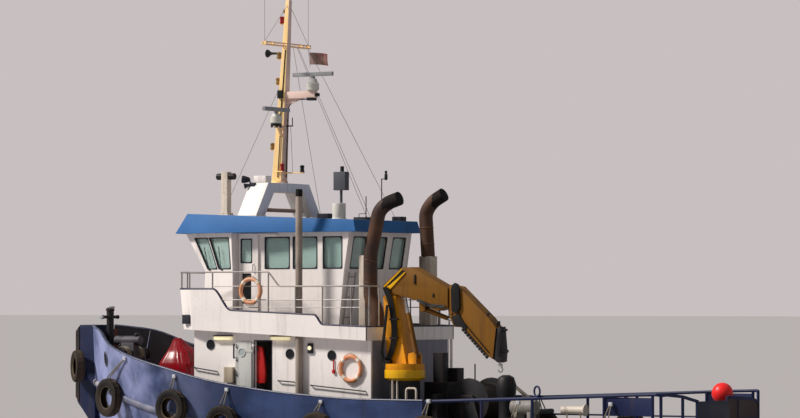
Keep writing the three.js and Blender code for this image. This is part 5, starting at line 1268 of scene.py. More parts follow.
# Wheelhouse roof
# Blue visor of folded plate round a flat grey top, welded on the walls. White seats, whip aerials
# and dark boxes are bolted on it.
blue_coat = coat("visor_blue", (34, 96, 160), (62, 118, 174), fading=0.4, runs=0.25, rust=0.08, sheen=0.62,
                 grime=(42, 70, 104))
roof_top_coat = coat("roof_top_grey", (150, 154, 156), (120, 122, 122), fading=0.6, runs=0.0, rust=0.3,
                     sheen=0.6)
WHIP_Y, SHORT_WHIP_Y = -0.7, -0.9
WHIPS = [
    ((0.43, WHIP_Y, 6.68), (0.43, WHIP_Y, 7.84), 0.014),
    ((0.44, WHIP_Y, 7.835), (0.29, WHIP_Y, 7.835), 0.014),
    ((1.07, SHORT_WHIP_Y, 6.7), (1.07, SHORT_WHIP_Y, 7.38), 0.014),
    ((1.07, SHORT_WHIP_Y, 6.9), (1.3, SHORT_WHIP_Y, 6.9), 0.01),
    ((1.3, SHORT_WHIP_Y, 6.72), (1.3, SHORT_WHIP_Y, 6.9), 0.01)]
WHIP_HEAD = [(0, 0.02), (0.02, 0.045), (0.15, 0.045), (0.18, 0.03), (0.24, 0.04), (0.26, 0.012)]


def roof_ring(rows, height):
    """A closed ring of the roof from its port half and its height at each x."""
    port = [(x, y, height(x)) for x, y in rows]
    return port + [(x, -y, z) for x, y, z in reversed(port)]


roof_low = roof_ring([(-0.25, 1.64), (3.7, 1.98), (5.74, 1.55), (5.79, 1.35)], lambda x: 6.36)
roof_high = roof_ring([(-0.16, 1.59), (3.7, 1.82), (5.44, 1.4), (5.48, 1.25)], lambda x: 6.69 + 0.04 * x)
visor = fitted("wheelhouse_visor", "boat", "blue_paint", [blue_coat, roof_top_coat],
               [lofted([roof_low, roof_high])], bevel=0.012, smooth=20,
               coat_of=lambda centre, normal: 1 if normal.z > 0.95 else 0)
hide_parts("wheelhouse_roof")
seats = [block(2.99, 3.65, 1.13, 1.6, 6.75, 6.842), block(2.99, 3.65, -1.6, -1.13, 6.75, 6.842),
         block(4.54, 4.86, 0.44, 0.76, 6.8, 6.89), bar((0.96, 0.6, 6.7), (0.96, 0.6, 6.75), 0.2, 28)]
roof_boxes = [block(-0.02, 0.26, -1.25, -0.95, 6.68, 6.81), block(1.3, 1.65, 0.3, 0.64, 6.72, 6.88),
              block(-0.1, 0.3, 0.5, 0.9, 6.67, 6.76)]
on_boat("roof_seats", "white_paint", white_coat, seats, bevel=0.008)
on_boat("roof_whips", "grey_paint", trim_coat, [bar(a, b, thick, 8) for a, b, thick in WHIPS])
on_boat("roof_whip_head", "black_paint", trim_coat,
        [turned_between((0.29, WHIP_Y, 7.8), (0.29, WHIP_Y, 8.07), WHIP_HEAD, 16)])
on_boat("roof_boxes", "black_paint", trim_coat, roof_boxes, bevel=0.012)

# Helm station
# Grey painted console with a wheel and a chair, fixed on the wheelhouse floor and seen through the
# windows. It is painted as it is.
console_coat = coat("console_grey", (90, 92, 96), (70, 72, 74), fading=0.4, runs=0.0, rust=0.0, sheen=0.5)
painted(["helm_station"], console_coat)

# Mast gantry
# White steel portal over the roof. Its after faces are painted blue-grey, which is painted shade
# with a painted reflection of the sky. A searchlight, a horn cluster and a box are clamped on it, and
# a faded red pipe runs across between its feet.
gantry_painted_shade_coat = coat("gantry_painted_shade", (216, 220, 240), (190, 194, 214), fading=0.4, runs=0.35, rust=0.2,
                  sheen=0.5)
red_pipe_coat = coat("faded_red_pipe", (150, 104, 96), (190, 170, 162), fading=0.8)
SEARCHLIGHT = [(0, 0.03), (0.04, 0.07), (0.16, 0.1), (0.22, 0.105), (0.24, 0.09)]
HORN = [(0, 0.02), (0.1, 0.03), (0.22, 0.07), (0.25, 0.075)]
# The after faces take the blue-grey coat of painted shade.
refined("gantry_portal", "mast_gantry", "boat", [white_coat, gantry_painted_shade_coat], bevel=0.015,
        coat_of=lambda centre, normal: 1 if normal.x < -0.7 else 0)
on_boat("gantry_box", "white_paint", white_coat,
        [block(3.1, 3.5, 0.72, 1.0, 7.74, 7.93)], bevel=0.02)
on_boat("gantry_cross_pipe", "red_cover", red_pipe_coat,
        [bar((3.3, -1.2, 7.0), (3.3, 1.2, 7.0), 0.055, 16)])
cluster = [
    turned_between((3.62, 0.98, 7.82), (3.86, 1.12, 7.84), SEARCHLIGHT, 18),
    turned_between((3.52, 1.0, 7.7), (3.8, 1.2, 7.62), HORN, 16),
    bar((3.5, 0.95, 7.6), (3.66, 1.0, 7.82), 0.02, 8), block(3.42, 3.6, 0.9, 1.06, 7.6, 7.74)]
on_boat("gantry_searchlight", "black_paint", trim_coat, cluster, bevel=0.004)

# Mast
# Tapered square tube of buff steel, bolted on the gantry. Its after side and the upper radar's bracket
# are painted greyer, which is painted shade. It has a double yard, lamps and radars on brackets,
# wires and a small blank flag under the yard.
MAST_FOOT, MAST_HEAD = 7.7403, 12.78
YARD_Z, YARD_END = 11.55, 1.06
mast_coat = coat("mast_buff", (255, 218, 154), (250, 212, 160), rust=0.2, grime=(156, 122, 86))
mast_painted_shade_coat = coat("mast_painted_shade", (232, 204, 194), (190, 168, 160), fading=0.6, runs=0.5, rust=0.35,
                      sheen=0.6, grime=(84, 72, 68))
lamp_black = coat("lamp_black", (24, 25, 28), (44, 44, 46), fading=0.3, runs=0.0, rust=0.1, sheen=0.4)
red_lamp_coat = coat("red_lamp", (150, 30, 36), (120, 40, 40), fading=0.3, runs=0.0, rust=0.0, sheen=0.2)
brass_lamp_coat = coat("brass_lamp", (150, 118, 70), (100, 84, 62), fading=0.6, runs=0.2, rust=0.3, sheen=0.4)
# Lamps up the fore side of the mast: height, reach, radius and how high each one is. The first
# is red.
MAST_LAMPS = [(12.23, 0.19, 0.07, 0.2), (11.27, 0.23, 0.075, 0.184), (10.56, 0.22, 0.07, 0.184),
              (8.77, 0.29, 0.07, 0.184)]
MAST_HORN = [(0, 0.03), (0.24, 0.035), (0.3, 0.055), (0.36, 0.1), (0.4, 0.115)]


def mast_x(z):
    """Where the raked mast's middle stands at a height."""
    return 3.33 + (3.02 - 3.33) * (z - 7.74) / (12.78 - 7.74)


def mast_square(z):
    """The mast's section at a height: a square with rounded corners."""
    half = 0.16 + (0.065 - 0.16) * (z - MAST_FOOT) / (MAST_HEAD - MAST_FOOT)
    x = mast_x(z)
    corners = [(x - half, -half), (x + half, -half), (x + half, half), (x - half, half)]
    return [(px, py, z) for px, py in flat_round(corners, 0.022)]


def mast_lamp(x, y, foot, height, radius):
    """A ship's lamp: a round foot, a lens and a cap."""
    return turned_between((x, y, foot), (x, y, foot + height), [
        (0, radius * 0.7), (0.012, radius), (0.04, radius), (0.05, radius * 0.82),
        (height - 0.06, radius * 0.82), (height - 0.05, radius), (height - 0.025, radius),
        (height, radius * 0.35)], 18)


yard_x = mast_x(YARD_Z)
mast_parts = [
    lofted([mast_square(z) for z in spaced(MAST_FOOT, MAST_HEAD, 9)]),
    disc((3.33, 0, 7.77), (0, 0, 1), 0.235, 0.06),
    bar((3.02, 0, 12.75), (3.02, 0, 13.4), 0.022, 10, 0.012),
    block(2.12, mast_x(10.15), -0.075, 0.075, 10.07, 10.26),
    bar((mast_x(9.28), 0, 9.29), (2.86, 0.84, 9.29), 0.06, 14),
    bar((mast_x(9.0), 0, 9.02), (2.96, 0.6, 9.27), 0.045)]
for z in (11.515, 11.585):
    for x in (mast_x(z) - 0.06, mast_x(z) + 0.06):
        mast_parts.append(bar((x, -1.1, z), (x, 1.1, z), 0.017, 10))
for y in (-YARD_END, -0.7, 0.7, YARD_END):
    mast_parts.append(block(yard_x - 0.075, yard_x + 0.075, y - 0.012, y + 0.012, 11.5, 11.6))
mast_lamps = []
for z, reach, radius, height in MAST_LAMPS:
    x = mast_x(z)
    mast_parts.append(block(x, x + reach + 0.06, -0.035, 0.035, z - 0.11, z - 0.085))
    mast_lamps.append(mast_lamp(x + reach, 0, z - 0.084, height, radius))
mast_parts += [
    block(mast_x(8) - 0.8, mast_x(8), -0.035, 0.035, 8.01, 8.045),
    block(3.08, mast_x(8), 0.1, 0.23, 8.05, 8.08),
    plate([(2.5, 10.075), (3.06, 9.88), (3.06, 10.075)], -0.015, 0.015)]
# The after faces and the upper radar's bracket take the greyer coat of painted shade.
mast_piece = fitted("mast_tube", "boat", "mast_paint", [mast_coat, mast_painted_shade_coat], mast_parts, bevel=0.003,
                    coat_of=lambda centre, normal: 1 if (
                        normal.x < -0.7 or (centre.x < 3.0 and centre.z > 9.9)) else 0)
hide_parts("mast")
head_x = mast_x(12.5)
on_boat("mast_brass_lamps", "grey_paint", brass_lamp_coat,
        mast_lamps[1:] + [mast_lamp(head_x + 0.13, 0, 12.44, 0.1, 0.04)])
on_boat("mast_red_lamps", "red_cover", red_lamp_coat,
        mast_lamps[:1] + [mast_lamp(3.12, 0.17, 8.08, 0.21, 0.06)])
box_x = mast_x(10.2)
dark_gear = [
    mast_lamp(mast_x(8) - 0.74, 0, 8.045, 0.19, 0.065),
    block(box_x - 0.05, box_x + 0.1, 0.1, 0.19, 10.08, 10.3),
    turned_between((3.34, 0, 11.33), (3.74, 0, 11.34), MAST_HORN, 18),
    bar((3.1, 0, 11.33), (3.36, 0, 11.33), 0.02, 8), block(2.16, 2.36, -0.1, 0.1, 10.0, 10.08),
    bar((2.12, 0, 10.15), (2.02, 0, 10.15), 0.05), bar((3.1, 0, 9.32), (2.88, 0, 9.32), 0.02, 8),
    bar((2.9, 0, 9.3), (2.9, 0, 9.55), 0.014, 8),
    bar((head_x, 0, 12.45), (head_x + 0.13, 0, 12.45), 0.015, 8)]
on_boat("mast_dark_gear", "black_paint", lamp_black, dark_gear, bevel=0.004)

# Wires and cables of the mast
# Thin steel wires, held taut: two aerials on the yard, stays to the roof and halyards to the
# yard's starboard side. Two black cables are clipped down the tube.
MAST_WIRES = [
    ((yard_x, YARD_END, YARD_Z), (yard_x, YARD_END, 12.9)),
    ((yard_x, -YARD_END, YARD_Z), (yard_x, -YARD_END, 12.9)),
    ((3.27, 0, 10.5), (5.28, 0, 6.88)), ((3.02, 0, 12.7), (yard_x, -YARD_END, 11.6)),
    ((3.02, 0, 12.7), (yard_x, YARD_END, 11.6)), ((yard_x, -YARD_END, 11.52), (0.39, -1.4, 6.7)),
    ((yard_x, -0.32, 11.52), (2.99, -1.55, 6.8)), ((yard_x, -0.5, 11.52), (1.36, -1.45, 6.74)),
    ((yard_x, -0.56, 11.52), (1.28, -1.5, 6.74)), ((2.9, -0.02, 8.03), (2.97, -0.02, 9.3))]
SIDE_CABLE = [(3.27, 0.18, 7.9), (3.2, 0.165, 8.9), (3.2, 0.15, 9.6), (3.14, 0.125, 10.3), (3.07, 0.1, 11.4)]
AFT_CABLE = [(3.12, -0.02, 7.9), (3.07, 0, 9.0), (3.03, 0, 9.9), (2.7, 0, 10.04), (2.3, 0, 10.04)]
on_boat("mast_wires", "grey_paint", rail_coat, [bar(a, b, 0.0065, 6) for a, b in MAST_WIRES])
on_boat("mast_cables", "black_paint", lamp_black,
        [bent_bar(rounded_path(SIDE_CABLE, 0.3), 0.014, 8),
         bent_bar(rounded_path(AFT_CABLE, 0.15), 0.016, 8)])

# Flag
# Small blank flag of thin faded bunting, hoisted on its halyard under the yard's starboard end and
# rippled by the wind. It is a skin of two layers.
FLAG_WIDE, FLAG_HIGH = 0.6, 0.33
FLAG_THICK = 0.003
flag_coat = coat("faded_bunting", (122, 62, 60), (150, 136, 130), fading=1.0, rust=0.0, sheen=0.8)


def flag_point(u, v):
    """A point of the bunting: u runs from the hoist to the fly and v down it."""
    swing = 0.035 * math.sin(7 * u + 1.5 * v) * u + 0.012 * math.sin(15 * u - 2 * v)
    return Vector((3.06 - 0.55 * u - 0.03 * v, -1.05 + swing - 0.12 * u, 11.4 - FLAG_HIGH * v - 0.05 * u * u))


flag_skin = []
for i in range(25):
    row = [flag_point(i / 24, j / 8) for j in range(9)]
    flag_skin.append(row + [point - Vector((0, FLAG_THICK, 0)) for point in reversed(row)])
flag = on_boat("yard_flag", "red_cover", flag_coat, [lofted(flag_skin)], smooth=60)
on_boat("flag_halyard", "grey_paint", rope_coat,
        [bar((yard_x, -1.05, 11.52), (3.03, -1.05, 11.0), 0.005, 6)])

# Radar scanners
# Grey painted bars, which turn on round grey-white units bolted on the mast's brackets. The lower
# unit has four feet.
UPPER_UNIT = [(0, 0.12), (0.03, 0.17), (0.2, 0.17), (0.24, 0.13), (0.339, 0.1)]
LOWER_UNIT = [(0, 0.15), (0.02, 0.165), (0.18, 0.165), (0.21, 0.12), (0.267, 0.1)]
LOWER_X, LOWER_Y = 2.86, 0.84
grey_coat = coat("grey_paint_coat", (146, 146, 150), (120, 120, 124), rust=0.3)
radar_coat = coat("radar_grey_white", (214, 212, 206), (178, 174, 166), runs=0.4, sheen=0.4)
for body, node in (("upper_radar", "radar_scanner_upper"), ("lower_radar", "radar_scanner_lower")):
    refined(f"{body}_bar", node, body, [grey_coat], bevel=0.02)
radar_units = [turned_between((2.22, 0, 10.2605), (2.22, 0, 10.5997), UPPER_UNIT),
               turned_between((LOWER_X, LOWER_Y, 9.352), (LOWER_X, LOWER_Y, 9.6197), LOWER_UNIT)]
on_boat("radar_units", "grey_paint", radar_coat, radar_units)
radar_feet = [disc((LOWER_X, LOWER_Y, 9.32), (0, 0, 1), 0.13, 0.07)]
for k in range(4):
    angle = math.pi * (k + 0.5) / 2
    x, y = LOWER_X + 0.12 * math.cos(angle), LOWER_Y + 0.12 * math.sin(angle)
    radar_feet.append(bar((x, y, 9.24), (x, y, 9.36), 0.03, 10))
on_boat("lower_radar_feet", "black_paint", lamp_black, radar_feet)

# Roof posts
# Posts bolted on the roof: a pale steel one with two round black lamps, and the satellite post,
# whose pale drum carries a dark grey box with a black aerial.
LAMP_Z, LAMP_HALF_HIGH = 7.94, 0.12
casing_coat = coat("casing_white", (212, 200, 188), (166, 150, 136), fading=0.6, runs=0.7, rust=0.5,
                   sheen=0.5)
dark_box_coat = coat("dark_grey_box", (82, 84, 92), (60, 60, 66), rust=0.2, sheen=0.5)


def lamp_post_coat(centre, normal):
    """Black on the lamps, which stand before and abaft the post's head."""
    beside_post = centre.x > 4.805 or centre.x < 4.595
    return 1 if abs(centre.z - LAMP_Z) < LAMP_HALF_HIGH and beside_post else 0


refined("lamp_post_tube", "lamp_post", "boat", [casing_coat, lamp_black], bevel=0.02,
        coat_of=lamp_post_coat)
refined("satellite_box", "satellite_post", "boat", [radar_coat, dark_box_coat, lamp_black],
        bevel=0.02, coat_of=lambda centre, normal: 2 if centre.z > 8.01 else 1 if centre.z > 7.2 else 0)

# Vent pipe
# Straight grey steel pipe up the port side of the house, welded on the deck at its collar. Its
# head tapers a little and is black with soot.
VENT_X, VENT_Y, VENT_RADIUS, VENT_TOP = 1.28, 2.052, 0.093, 7.5
pipe_coat = coat("pipe_grey", (166, 152, 142), (128, 115, 106), fading=0.7, runs=0.8, rust=0.5, sheen=0.5,
                 grime=(90, 78, 70))
soot_coat = coat("soot_black", (20, 18, 19), (40, 34, 32), runs=0.2, rust=0.4, sheen=0.9)
vent_foot = deck_height(1.375)
vent_rows = [
    (0, 0.095), (0.05, 0.095), (VENT_TOP - 1.55, VENT_RADIUS),
    (VENT_TOP - vent_foot - 0.2, VENT_RADIUS), (VENT_TOP - vent_foot - 0.04, VENT_RADIUS),
    (VENT_TOP - vent_foot - 0.001, 0.08)]
vent_tube = turned_between((VENT_X, VENT_Y, vent_foot + 0.001), (VENT_X, VENT_Y, VENT_TOP), vent_rows)
vent = fitted("vent_pipe_tube", "boat", "white_paint", [pipe_coat, soot_coat], [vent_tube],
              coat_of=lambda centre, normal: 1 if centre.z > VENT_TOP - 0.19 else 0)
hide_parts("vent_pipe")

# Exhausts
# Rusty bent steel pipes with sooty cut ends and clamp bands, abaft the wheelhouse. The port one
# stands beside its white steel casing, and the starboard one rises out of its own.
# The golden brown on the pipes' edges is worn steel, brightened as a painted highlight.
exhaust_coat = coat("exhaust_rust", (62, 45, 39), (94, 64, 46), fading=0.8, runs=0.5, rust=0.6, sheen=0.55,
                    grime=(26, 22, 23), edges=0.02, edge_colour=(140, 100, 58), relief=0.5)
PORT_WAY = [(-0.695, 1.25, 3.56), (-0.695, 1.25, 4.25), (-0.48, 1.25, 4.59), (-0.48, 1.25, 5.73),
            (-0.67, 1.25, 6.53), (-0.75, 1.25, 6.9), (-1.02, 1.25, 7.11), (-1.4, 1.25, 7.23)]
STARBOARD_WAY = [(-0.72, -1.25, 5.7), (-0.64, -1.25, 6.9), (-0.86, -1.25, 7.2), (-1.23, -1.25, 7.4)]
PORT_BANDS = [(-0.48, 1.25, 5.0), (-0.48, 1.25, 5.6)]
STARBOARD_BANDS = [(-0.70, -1.25, 6.05), (-0.67, -1.25, 6.5)]
# Bands lie square to one length of the pipe, which is given by the number of its first corner.
for name, way, band_spots, band_from, casing in (
        ("port", PORT_WAY, PORT_BANDS, 3, block(-0.35, -0.15, 1.18, 1.32, 3.59, 5.725)),
        ("starboard", STARBOARD_WAY, STARBOARD_BANDS, 0, block(-0.9, -0.54, -1.43, -1.07, 3.57, 5.725))):
    tube = fitted(f"{name}_exhaust_pipe", "boat", "rusty_steel", [exhaust_coat, soot_coat],
                  [bent_bar(rounded_path(way, 0.16, 7), 0.188, 28)],
                  coat_of=lambda centre, normal: 1 if centre.x < -0.95 and centre.z > 6.95 else 0)
    band_axis = Vector(way[band_from + 1]) - Vector(way[band_from])
    bands = [ring(spot, band_axis, 0.19, 0.012, 28, 8) for spot in band_spots]
    on_boat(f"{name}_exhaust_bands", "rusty_steel", exhaust_coat, bands)
    on_boat(f"{name}_exhaust_casing", "white_paint", casing_coat, [casing], bevel=0.01)
    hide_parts(f"exhaust_{name}")

# Covered windlass
# Anchor windlass on the fore deck under a red coated cloth, which falls in folds from the peak and
# is lashed round its foot. The cloth is a thin skin of two layers over rings of points.
CLOTH_THICK = 0.005
COVER_RISE, LASHED_AT = 1.57, 0.32
# Rings of the cover from the hem up: height, aft end, fore end, half width, and how square it is.
COVER_RINGS = [
    (0, 5.9, 7.25, 0.65, 5), (0.45, 5.95, 7.22, 0.61, 5), (0.85, 6.01, 7.19, 0.56, 4),
    (1.0, 6.09, 7.13, 0.5, 3.4), (1.18, 6.2, 7.03, 0.41, 3), (1.36, 6.44, 6.96, 0.26, 2.5),
    (1.52, 6.63, 6.92, 0.14, 2.2), (1.57, 6.69, 6.87, 0.08, 2)]
# Folds: how many go round, where they start and how deep they are.
COVER_FOLDS = [(5, 0.6, 0.5), (9, 2.1, 0.8), (14, 0.9, 0.9), (23, 4.0, 0.45)]
COVER_HEIGHTS = [0, 0.08, 0.16, 0.22, 0.27, 0.32, 0.37, 0.42, 0.5, 0.6, 0.7, 0.78, 0.85, 0.9, 0.95, 1.0,
                 1.06, 1.12, 1.18, 1.24, 1.3, 1.36, 1.42, 1.47, 1.52, 1.55, 1.569]
cover_coat = coat("red_tarpaulin", (128, 8, 20), (142, 22, 34), fading=0.4, runs=0.15, rust=0.0, sheen=0.24)
cover_foot = deck_height(6.7) + 0.03


def cover_ring(t, inside):
    """One ring of the cloth at a height over its foot."""
    low = max(k for k in range(len(COVER_RINGS) - 1) if COVER_RINGS[k][0] <= t)
    (t0, *below), (t1, *above) = COVER_RINGS[low], COVER_RINGS[low + 1]
    aft, fore, half, square = [a + (b - a) * (t - t0) / (t1 - t0) for a, b in zip(below, above)]
    power = 2 / square
    lashed = math.exp(-((t - LASHED_AT) / 0.07) ** 2)
    fold = 0.013 * (1 - 0.6 * lashed) * (1 - 0.5 * t / COVER_RISE)
    points = []
    for k in range(120):
        a = 2 * math.pi * k / 120
        wave = sum(size * math.sin(count * a + start + 1.7 * t) for count, start, size in COVER_FOLDS)
        out = wave * fold - 0.03 * lashed - 0.012 - inside
        c, s = math.cos(a), math.sin(a)
        x = (aft + fore) / 2 + ((fore - aft) / 2 + out) * math.copysign(abs(c) ** power, c)
        y = (half + out) * math.copysign(abs(s) ** power, s)
        foot = deck_height(x) + 0.03 + 0.02 * math.sin(7 * a + 1)
        points.append((x, y, foot + (cover_foot + t - foot) * min(t / 0.85, 1)))
    return points


windlass = [
    block(6.15, 7.02, -0.42, 0.42, deck_height(7.02) - 0.2, 2.55),
    bar((6.65, -0.34, 2.75), (6.65, 0.34, 2.75), 0.24, 24),
    bar((6.78, 0, 2.5), (6.78, 0, 3.44), 0.06, 16)]
on_boat("windlass_under_cover", "grey_paint", black_coat, windlass, bevel=0.01)
cloth_rows = [cover_ring(t, 0) for t in reversed(COVER_HEIGHTS)]
cloth_rows += [cover_ring(t, CLOTH_THICK) for t in COVER_HEIGHTS[:-1]]
cloth_rows.append([(x, y, z - CLOTH_THICK) for x, y, z in cover_ring(COVER_HEIGHTS[-1], CLOTH_THICK)])
cover = on_boat("windlass_cover_cloth", "red_cover", cover_coat, [lofted(cloth_rows)], smooth=60)
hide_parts("covered_windlass")
lashing = [Vector(point) + Vector((0, 0, 0.012)) for point in cover_ring(LASHED_AT, -0.012)]
on_boat("windlass_cover_lashing", "black_paint", rope_coat,
        [bent_bar(lashing, 0.01, 6, closed=True)])

# Mooring winch
# Grey painted winch bolted down near the bow: a gearbox with its motor on top between two drums of
# rope, and a warping head at each end of the shaft.
mooring_coat = coat("mooring_winch_grey", (88, 86, 96), (62, 60, 66), fading=0.8, runs=0.5, rust=0.5,
                    sheen=0.55)
dark_metal_coat = coat("dark_metal", (34, 34, 40), (50, 48, 52), fading=0.6, rust=0.5, sheen=0.5, edges=0.02)
refined("mooring_winch_frame", "mooring_winch", "boat", [mooring_coat], bevel=0.012)
refined("mooring_winch_drums", "mooring_winch_shaft", "mooring_shaft", [dark_metal_coat],
        bevel=0.008)
pipe_way = [(8.7, 0.1, 3.3), (8.85, 0.2, 3.1), (8.8, 0.3, 2.6), (8.7, 0.35, 2.44)]
winch_fittings = [
    bar((8.1, 0.3, 2.62), (8.1, 0.5, 2.62), 0.12, 16),
    block(8.7, 8.86, -0.3, -0.12, 2.44, 2.85),
    bar((8.75, 0.2, 2.44), (8.75, 0.2, 2.95), 0.05),
    bent_bar(rounded_path(pipe_way, 0.08), 0.025, 8),
    turned_between((8.2, 0, 3.53), (8.2, 0, 3.62),
                   [(0, 0.09), (0.05, 0.09), (0.08, 0.05), (0.09, 0.02)], 16)]
on_boat("mooring_winch_fittings", "black_paint", dark_metal_coat, winch_fittings, bevel=0.01)

# Bow locker
# Red-brown steel box with rounded edges, which stands on the deck beside the tall bitt to
# starboard.
red_brown_coat = coat("red_brown_box", (104, 52, 46), (120, 84, 72), fading=0.6, runs=0.4)
on_boat("bow_locker", "red_cover", red_brown_coat,
        [block(9.28, 9.52, -0.66, -0.36, deck_height(9.3), 3.72)], bevel=0.04)

# Rope on the mooring winch
# Pale hemp rope, wound in one layer on each of the two drums. It turns with the winch's shaft,
# and each turn of it is a ring.
rope_turns = [ring((8.45, y, 3.02), ACROSS, 0.205, 0.013, 26, 6) for y in spaced(0.205, 0.385, 8)]
fitted("mooring_winch_rope", "mooring_shaft", "black_paint", [rope_coat], both_sides(rope_turns))

# Crane
# Knuckle-boom crane of yellow painted plate, bolted down to port: pedestal and ring, column, boom,
# jib, extension, hook and two hydraulic cylinders with bright rods. The boom, the jib and the
# cylinder barrels are painted a darker yellow, which is painted shade, and faces towards the sun, the
# pedestal's ring and two ridges on the boom a brighter yellow, which is a painted highlight.
CRANE_X = -1.7
CRANE_WEAR = {"fading": 0.6, "runs": 0.6, "edges": 0.02, "edge_colour": (92, 58, 30)}
crane_coat = coat("crane_yellow", (230, 152, 2), (200, 128, 14), rust=0.45, sheen=0.34,
                  grime=(70, 46, 22), **CRANE_WEAR)
boom_painted_shade_coat = coat("boom_yellow_painted_shade", (120, 78, 2), (98, 62, 8), rust=0.5, sheen=0.5,
                 grime=(60, 40, 20), **CRANE_WEAR)
jib_painted_shade_coat = coat("jib_yellow_painted_shade", (126, 82, 8), (104, 68, 16), rust=0.5, sheen=0.5,
                grime=(66, 44, 26), **CRANE_WEAR)
crane_painted_highlight_coat = coat("crane_yellow_painted_highlight", (236, 180, 8), (206, 150, 26), fading=0.4, runs=0.4, rust=0.3,
                         sheen=0.3, grime=(110, 78, 30))
steel_coat = coat("bright_steel", (196, 196, 200), (170, 170, 172), fading=0.2, runs=0.0, rust=0.05,
                  sheen=0.22, metallic=0.9)
# The pedestal's yellow ring, and the faces of column and boom that look forward and up, take the brighter
# yellow of a painted highlight.
refined("pedestal_post", "crane_pedestal", "boat", [dark_metal_coat, crane_painted_highlight_coat],
        coat_of=lambda centre, normal: 1 if centre.z > 2.43 else 0)
refined("column_plates", "crane_column", "slewing_column", [crane_coat, crane_painted_highlight_coat],
        bevel=0.014, coat_of=lambda centre, normal: 1 if normal.x > 0.7 and centre.z > 2.9 else 0)
refined("boom_plates", "crane_boom", "boom", [boom_painted_shade_coat, crane_painted_highlight_coat],
        bevel=0.016, coat_of=lambda centre, normal: 1 if normal.x > 0.4 and normal.z > 0.4 else 0)
refined("jib_plates", "crane_jib", "jib", [jib_painted_shade_coat, dark_metal_coat],
        bevel=0.014, coat_of=lambda centre, normal: 1 if centre.x < -4.53 else 0)
refined("extension_bar", "crane_extension", "jib_extension", [dark_metal_coat], bevel=0.008)
refined("hook_forging", "crane_hook", "hook", [steel_coat])
for kind, body in (("luff_cylinder", "luff"), ("jib_cylinder", "jib")):
    refined(f"{kind}_tube", f"{kind}_barrel", f"{body}_barrel", [boom_painted_shade_coat], bevel=0.004)
    refined(f"{kind}_shaft", f"{kind}_rod", f"{body}_rod", [steel_coat], bevel=0.003)

# Hoses and fittings of the crane
# Black rubber hoses clipped along column, boom and jib, a sleeve at the knuckle, and dark steel
# gear at the jib's head. Lines are given by reach from the slewing axis and height.
COLUMN_HOSE = [(-0.44, 4.86), (-0.3, 4.55), (-0.227, 4.3), (-0.146, 3.7), (-0.186, 3.36), (-0.307, 3.02),
               (-0.45, 2.9)]
LOOSE_HOSE = [(-0.36, 4.4), (-0.42, 3.9), (-0.47, 3.53), (-0.53, 3.16), (-0.46, 2.95), (-0.36, 2.9)]
KNUCKLE_SLEEVE = [(1.6, 4.25), (1.58, 4.8), (1.62, 4.93), (1.7, 4.98), (1.79, 4.94), (1.83, 4.8),
                  (1.85, 4.35), (1.8, 4.23), (1.7, 4.19)]
TRACK_HEAD = [(1.56, 4.1), (1.66, 3.86), (1.86, 3.84), (2.0, 3.73), (2.04, 3.84), (1.9, 4.0), (1.8, 4.16)]
TRACK_LINK = [(-0.03, -0.04), (0.025, -0.09), (0.09, -0.02), (0.035, 0.03)]
hose_coat = coat("hose_black", (20, 20, 22), (46, 42, 40), runs=0.1, rust=0.1, sheen=0.4)


def crane_hose(line, y, bend, radius):
    """A hose along a line of the crane."""
    return bent_bar(rounded_path([(CRANE_X - reach, y, z) for reach, z in line], bend), radius, 8)


def crane_plate(line, low, high):
    """A plate with a line of the crane as its outline."""
    return plate([(CRANE_X - reach, z) for reach, z in line], low, high)


def boom_heel(low, high, outer):
    """A strip along the boom's heel, between two values across it."""
    line = [(low - 0.56, 4.9), (0.02 + low * 0.6, 5.37 - low * 0.5),
            (0.02 + high * 0.6, 5.37 - high * 0.5), (high - 0.56, 4.9 - high * 0.4)]
    return crane_plate(line, 1.655, outer)


column_hoses = []
for k in range(4):
    shift = (k - 1.5) * 0.046
    column_hoses.append(crane_hose([(reach + shift, z) for reach, z in COLUMN_HOSE], 1.72, 0.12, 0.022))
for k in range(2):
    line = [(reach + k * 0.05, z) for reach, z in LOOSE_HOSE]
    column_hoses.append(crane_hose(line, 1.78 + 0.03 * k, 0.12, 0.026))
column_hoses += [block(CRANE_X + 0.06, CRANE_X + 0.3, 1.64, 1.75, z, z + 0.05) for z in (3.5, 4.0)]
column_hoses.append(block(CRANE_X + 0.26, CRANE_X + 0.52, 1.6, 1.8, 2.852, 2.94))
fitted("column_hoses", "slewing_column", "black_paint", [hose_coat], column_hoses)
# The heel of the boom carries its hoses in a channel between two ridges, painted bright yellow as a
# painted highlight.
boom_hoses = [boom_heel(0.09, 0.19, 1.675), block(-2.17, -2.13, 1.655, 1.69, 4.95, 5.2),
              block(-2.75, -2.7, 1.655, 1.68, 4.6, 4.7)]
for k in range(3):
    line = [(0.52, 4.5 + 0.03 * k), (0.9, 4.36 + 0.03 * k), (1.3, 4.33 + 0.03 * k), (1.42, 4.36)]
    boom_hoses.append(crane_hose(line, 1.675, 0.08, 0.013))
fitted("boom_hoses", "boom", "black_paint", [hose_coat], boom_hoses, bevel=0.006)
fitted("boom_ridges", "boom", "crane_paint", [crane_painted_highlight_coat],
       [boom_heel(0.04, 0.075, 1.69), boom_heel(0.2, 0.235, 1.69)], bevel=0.006)
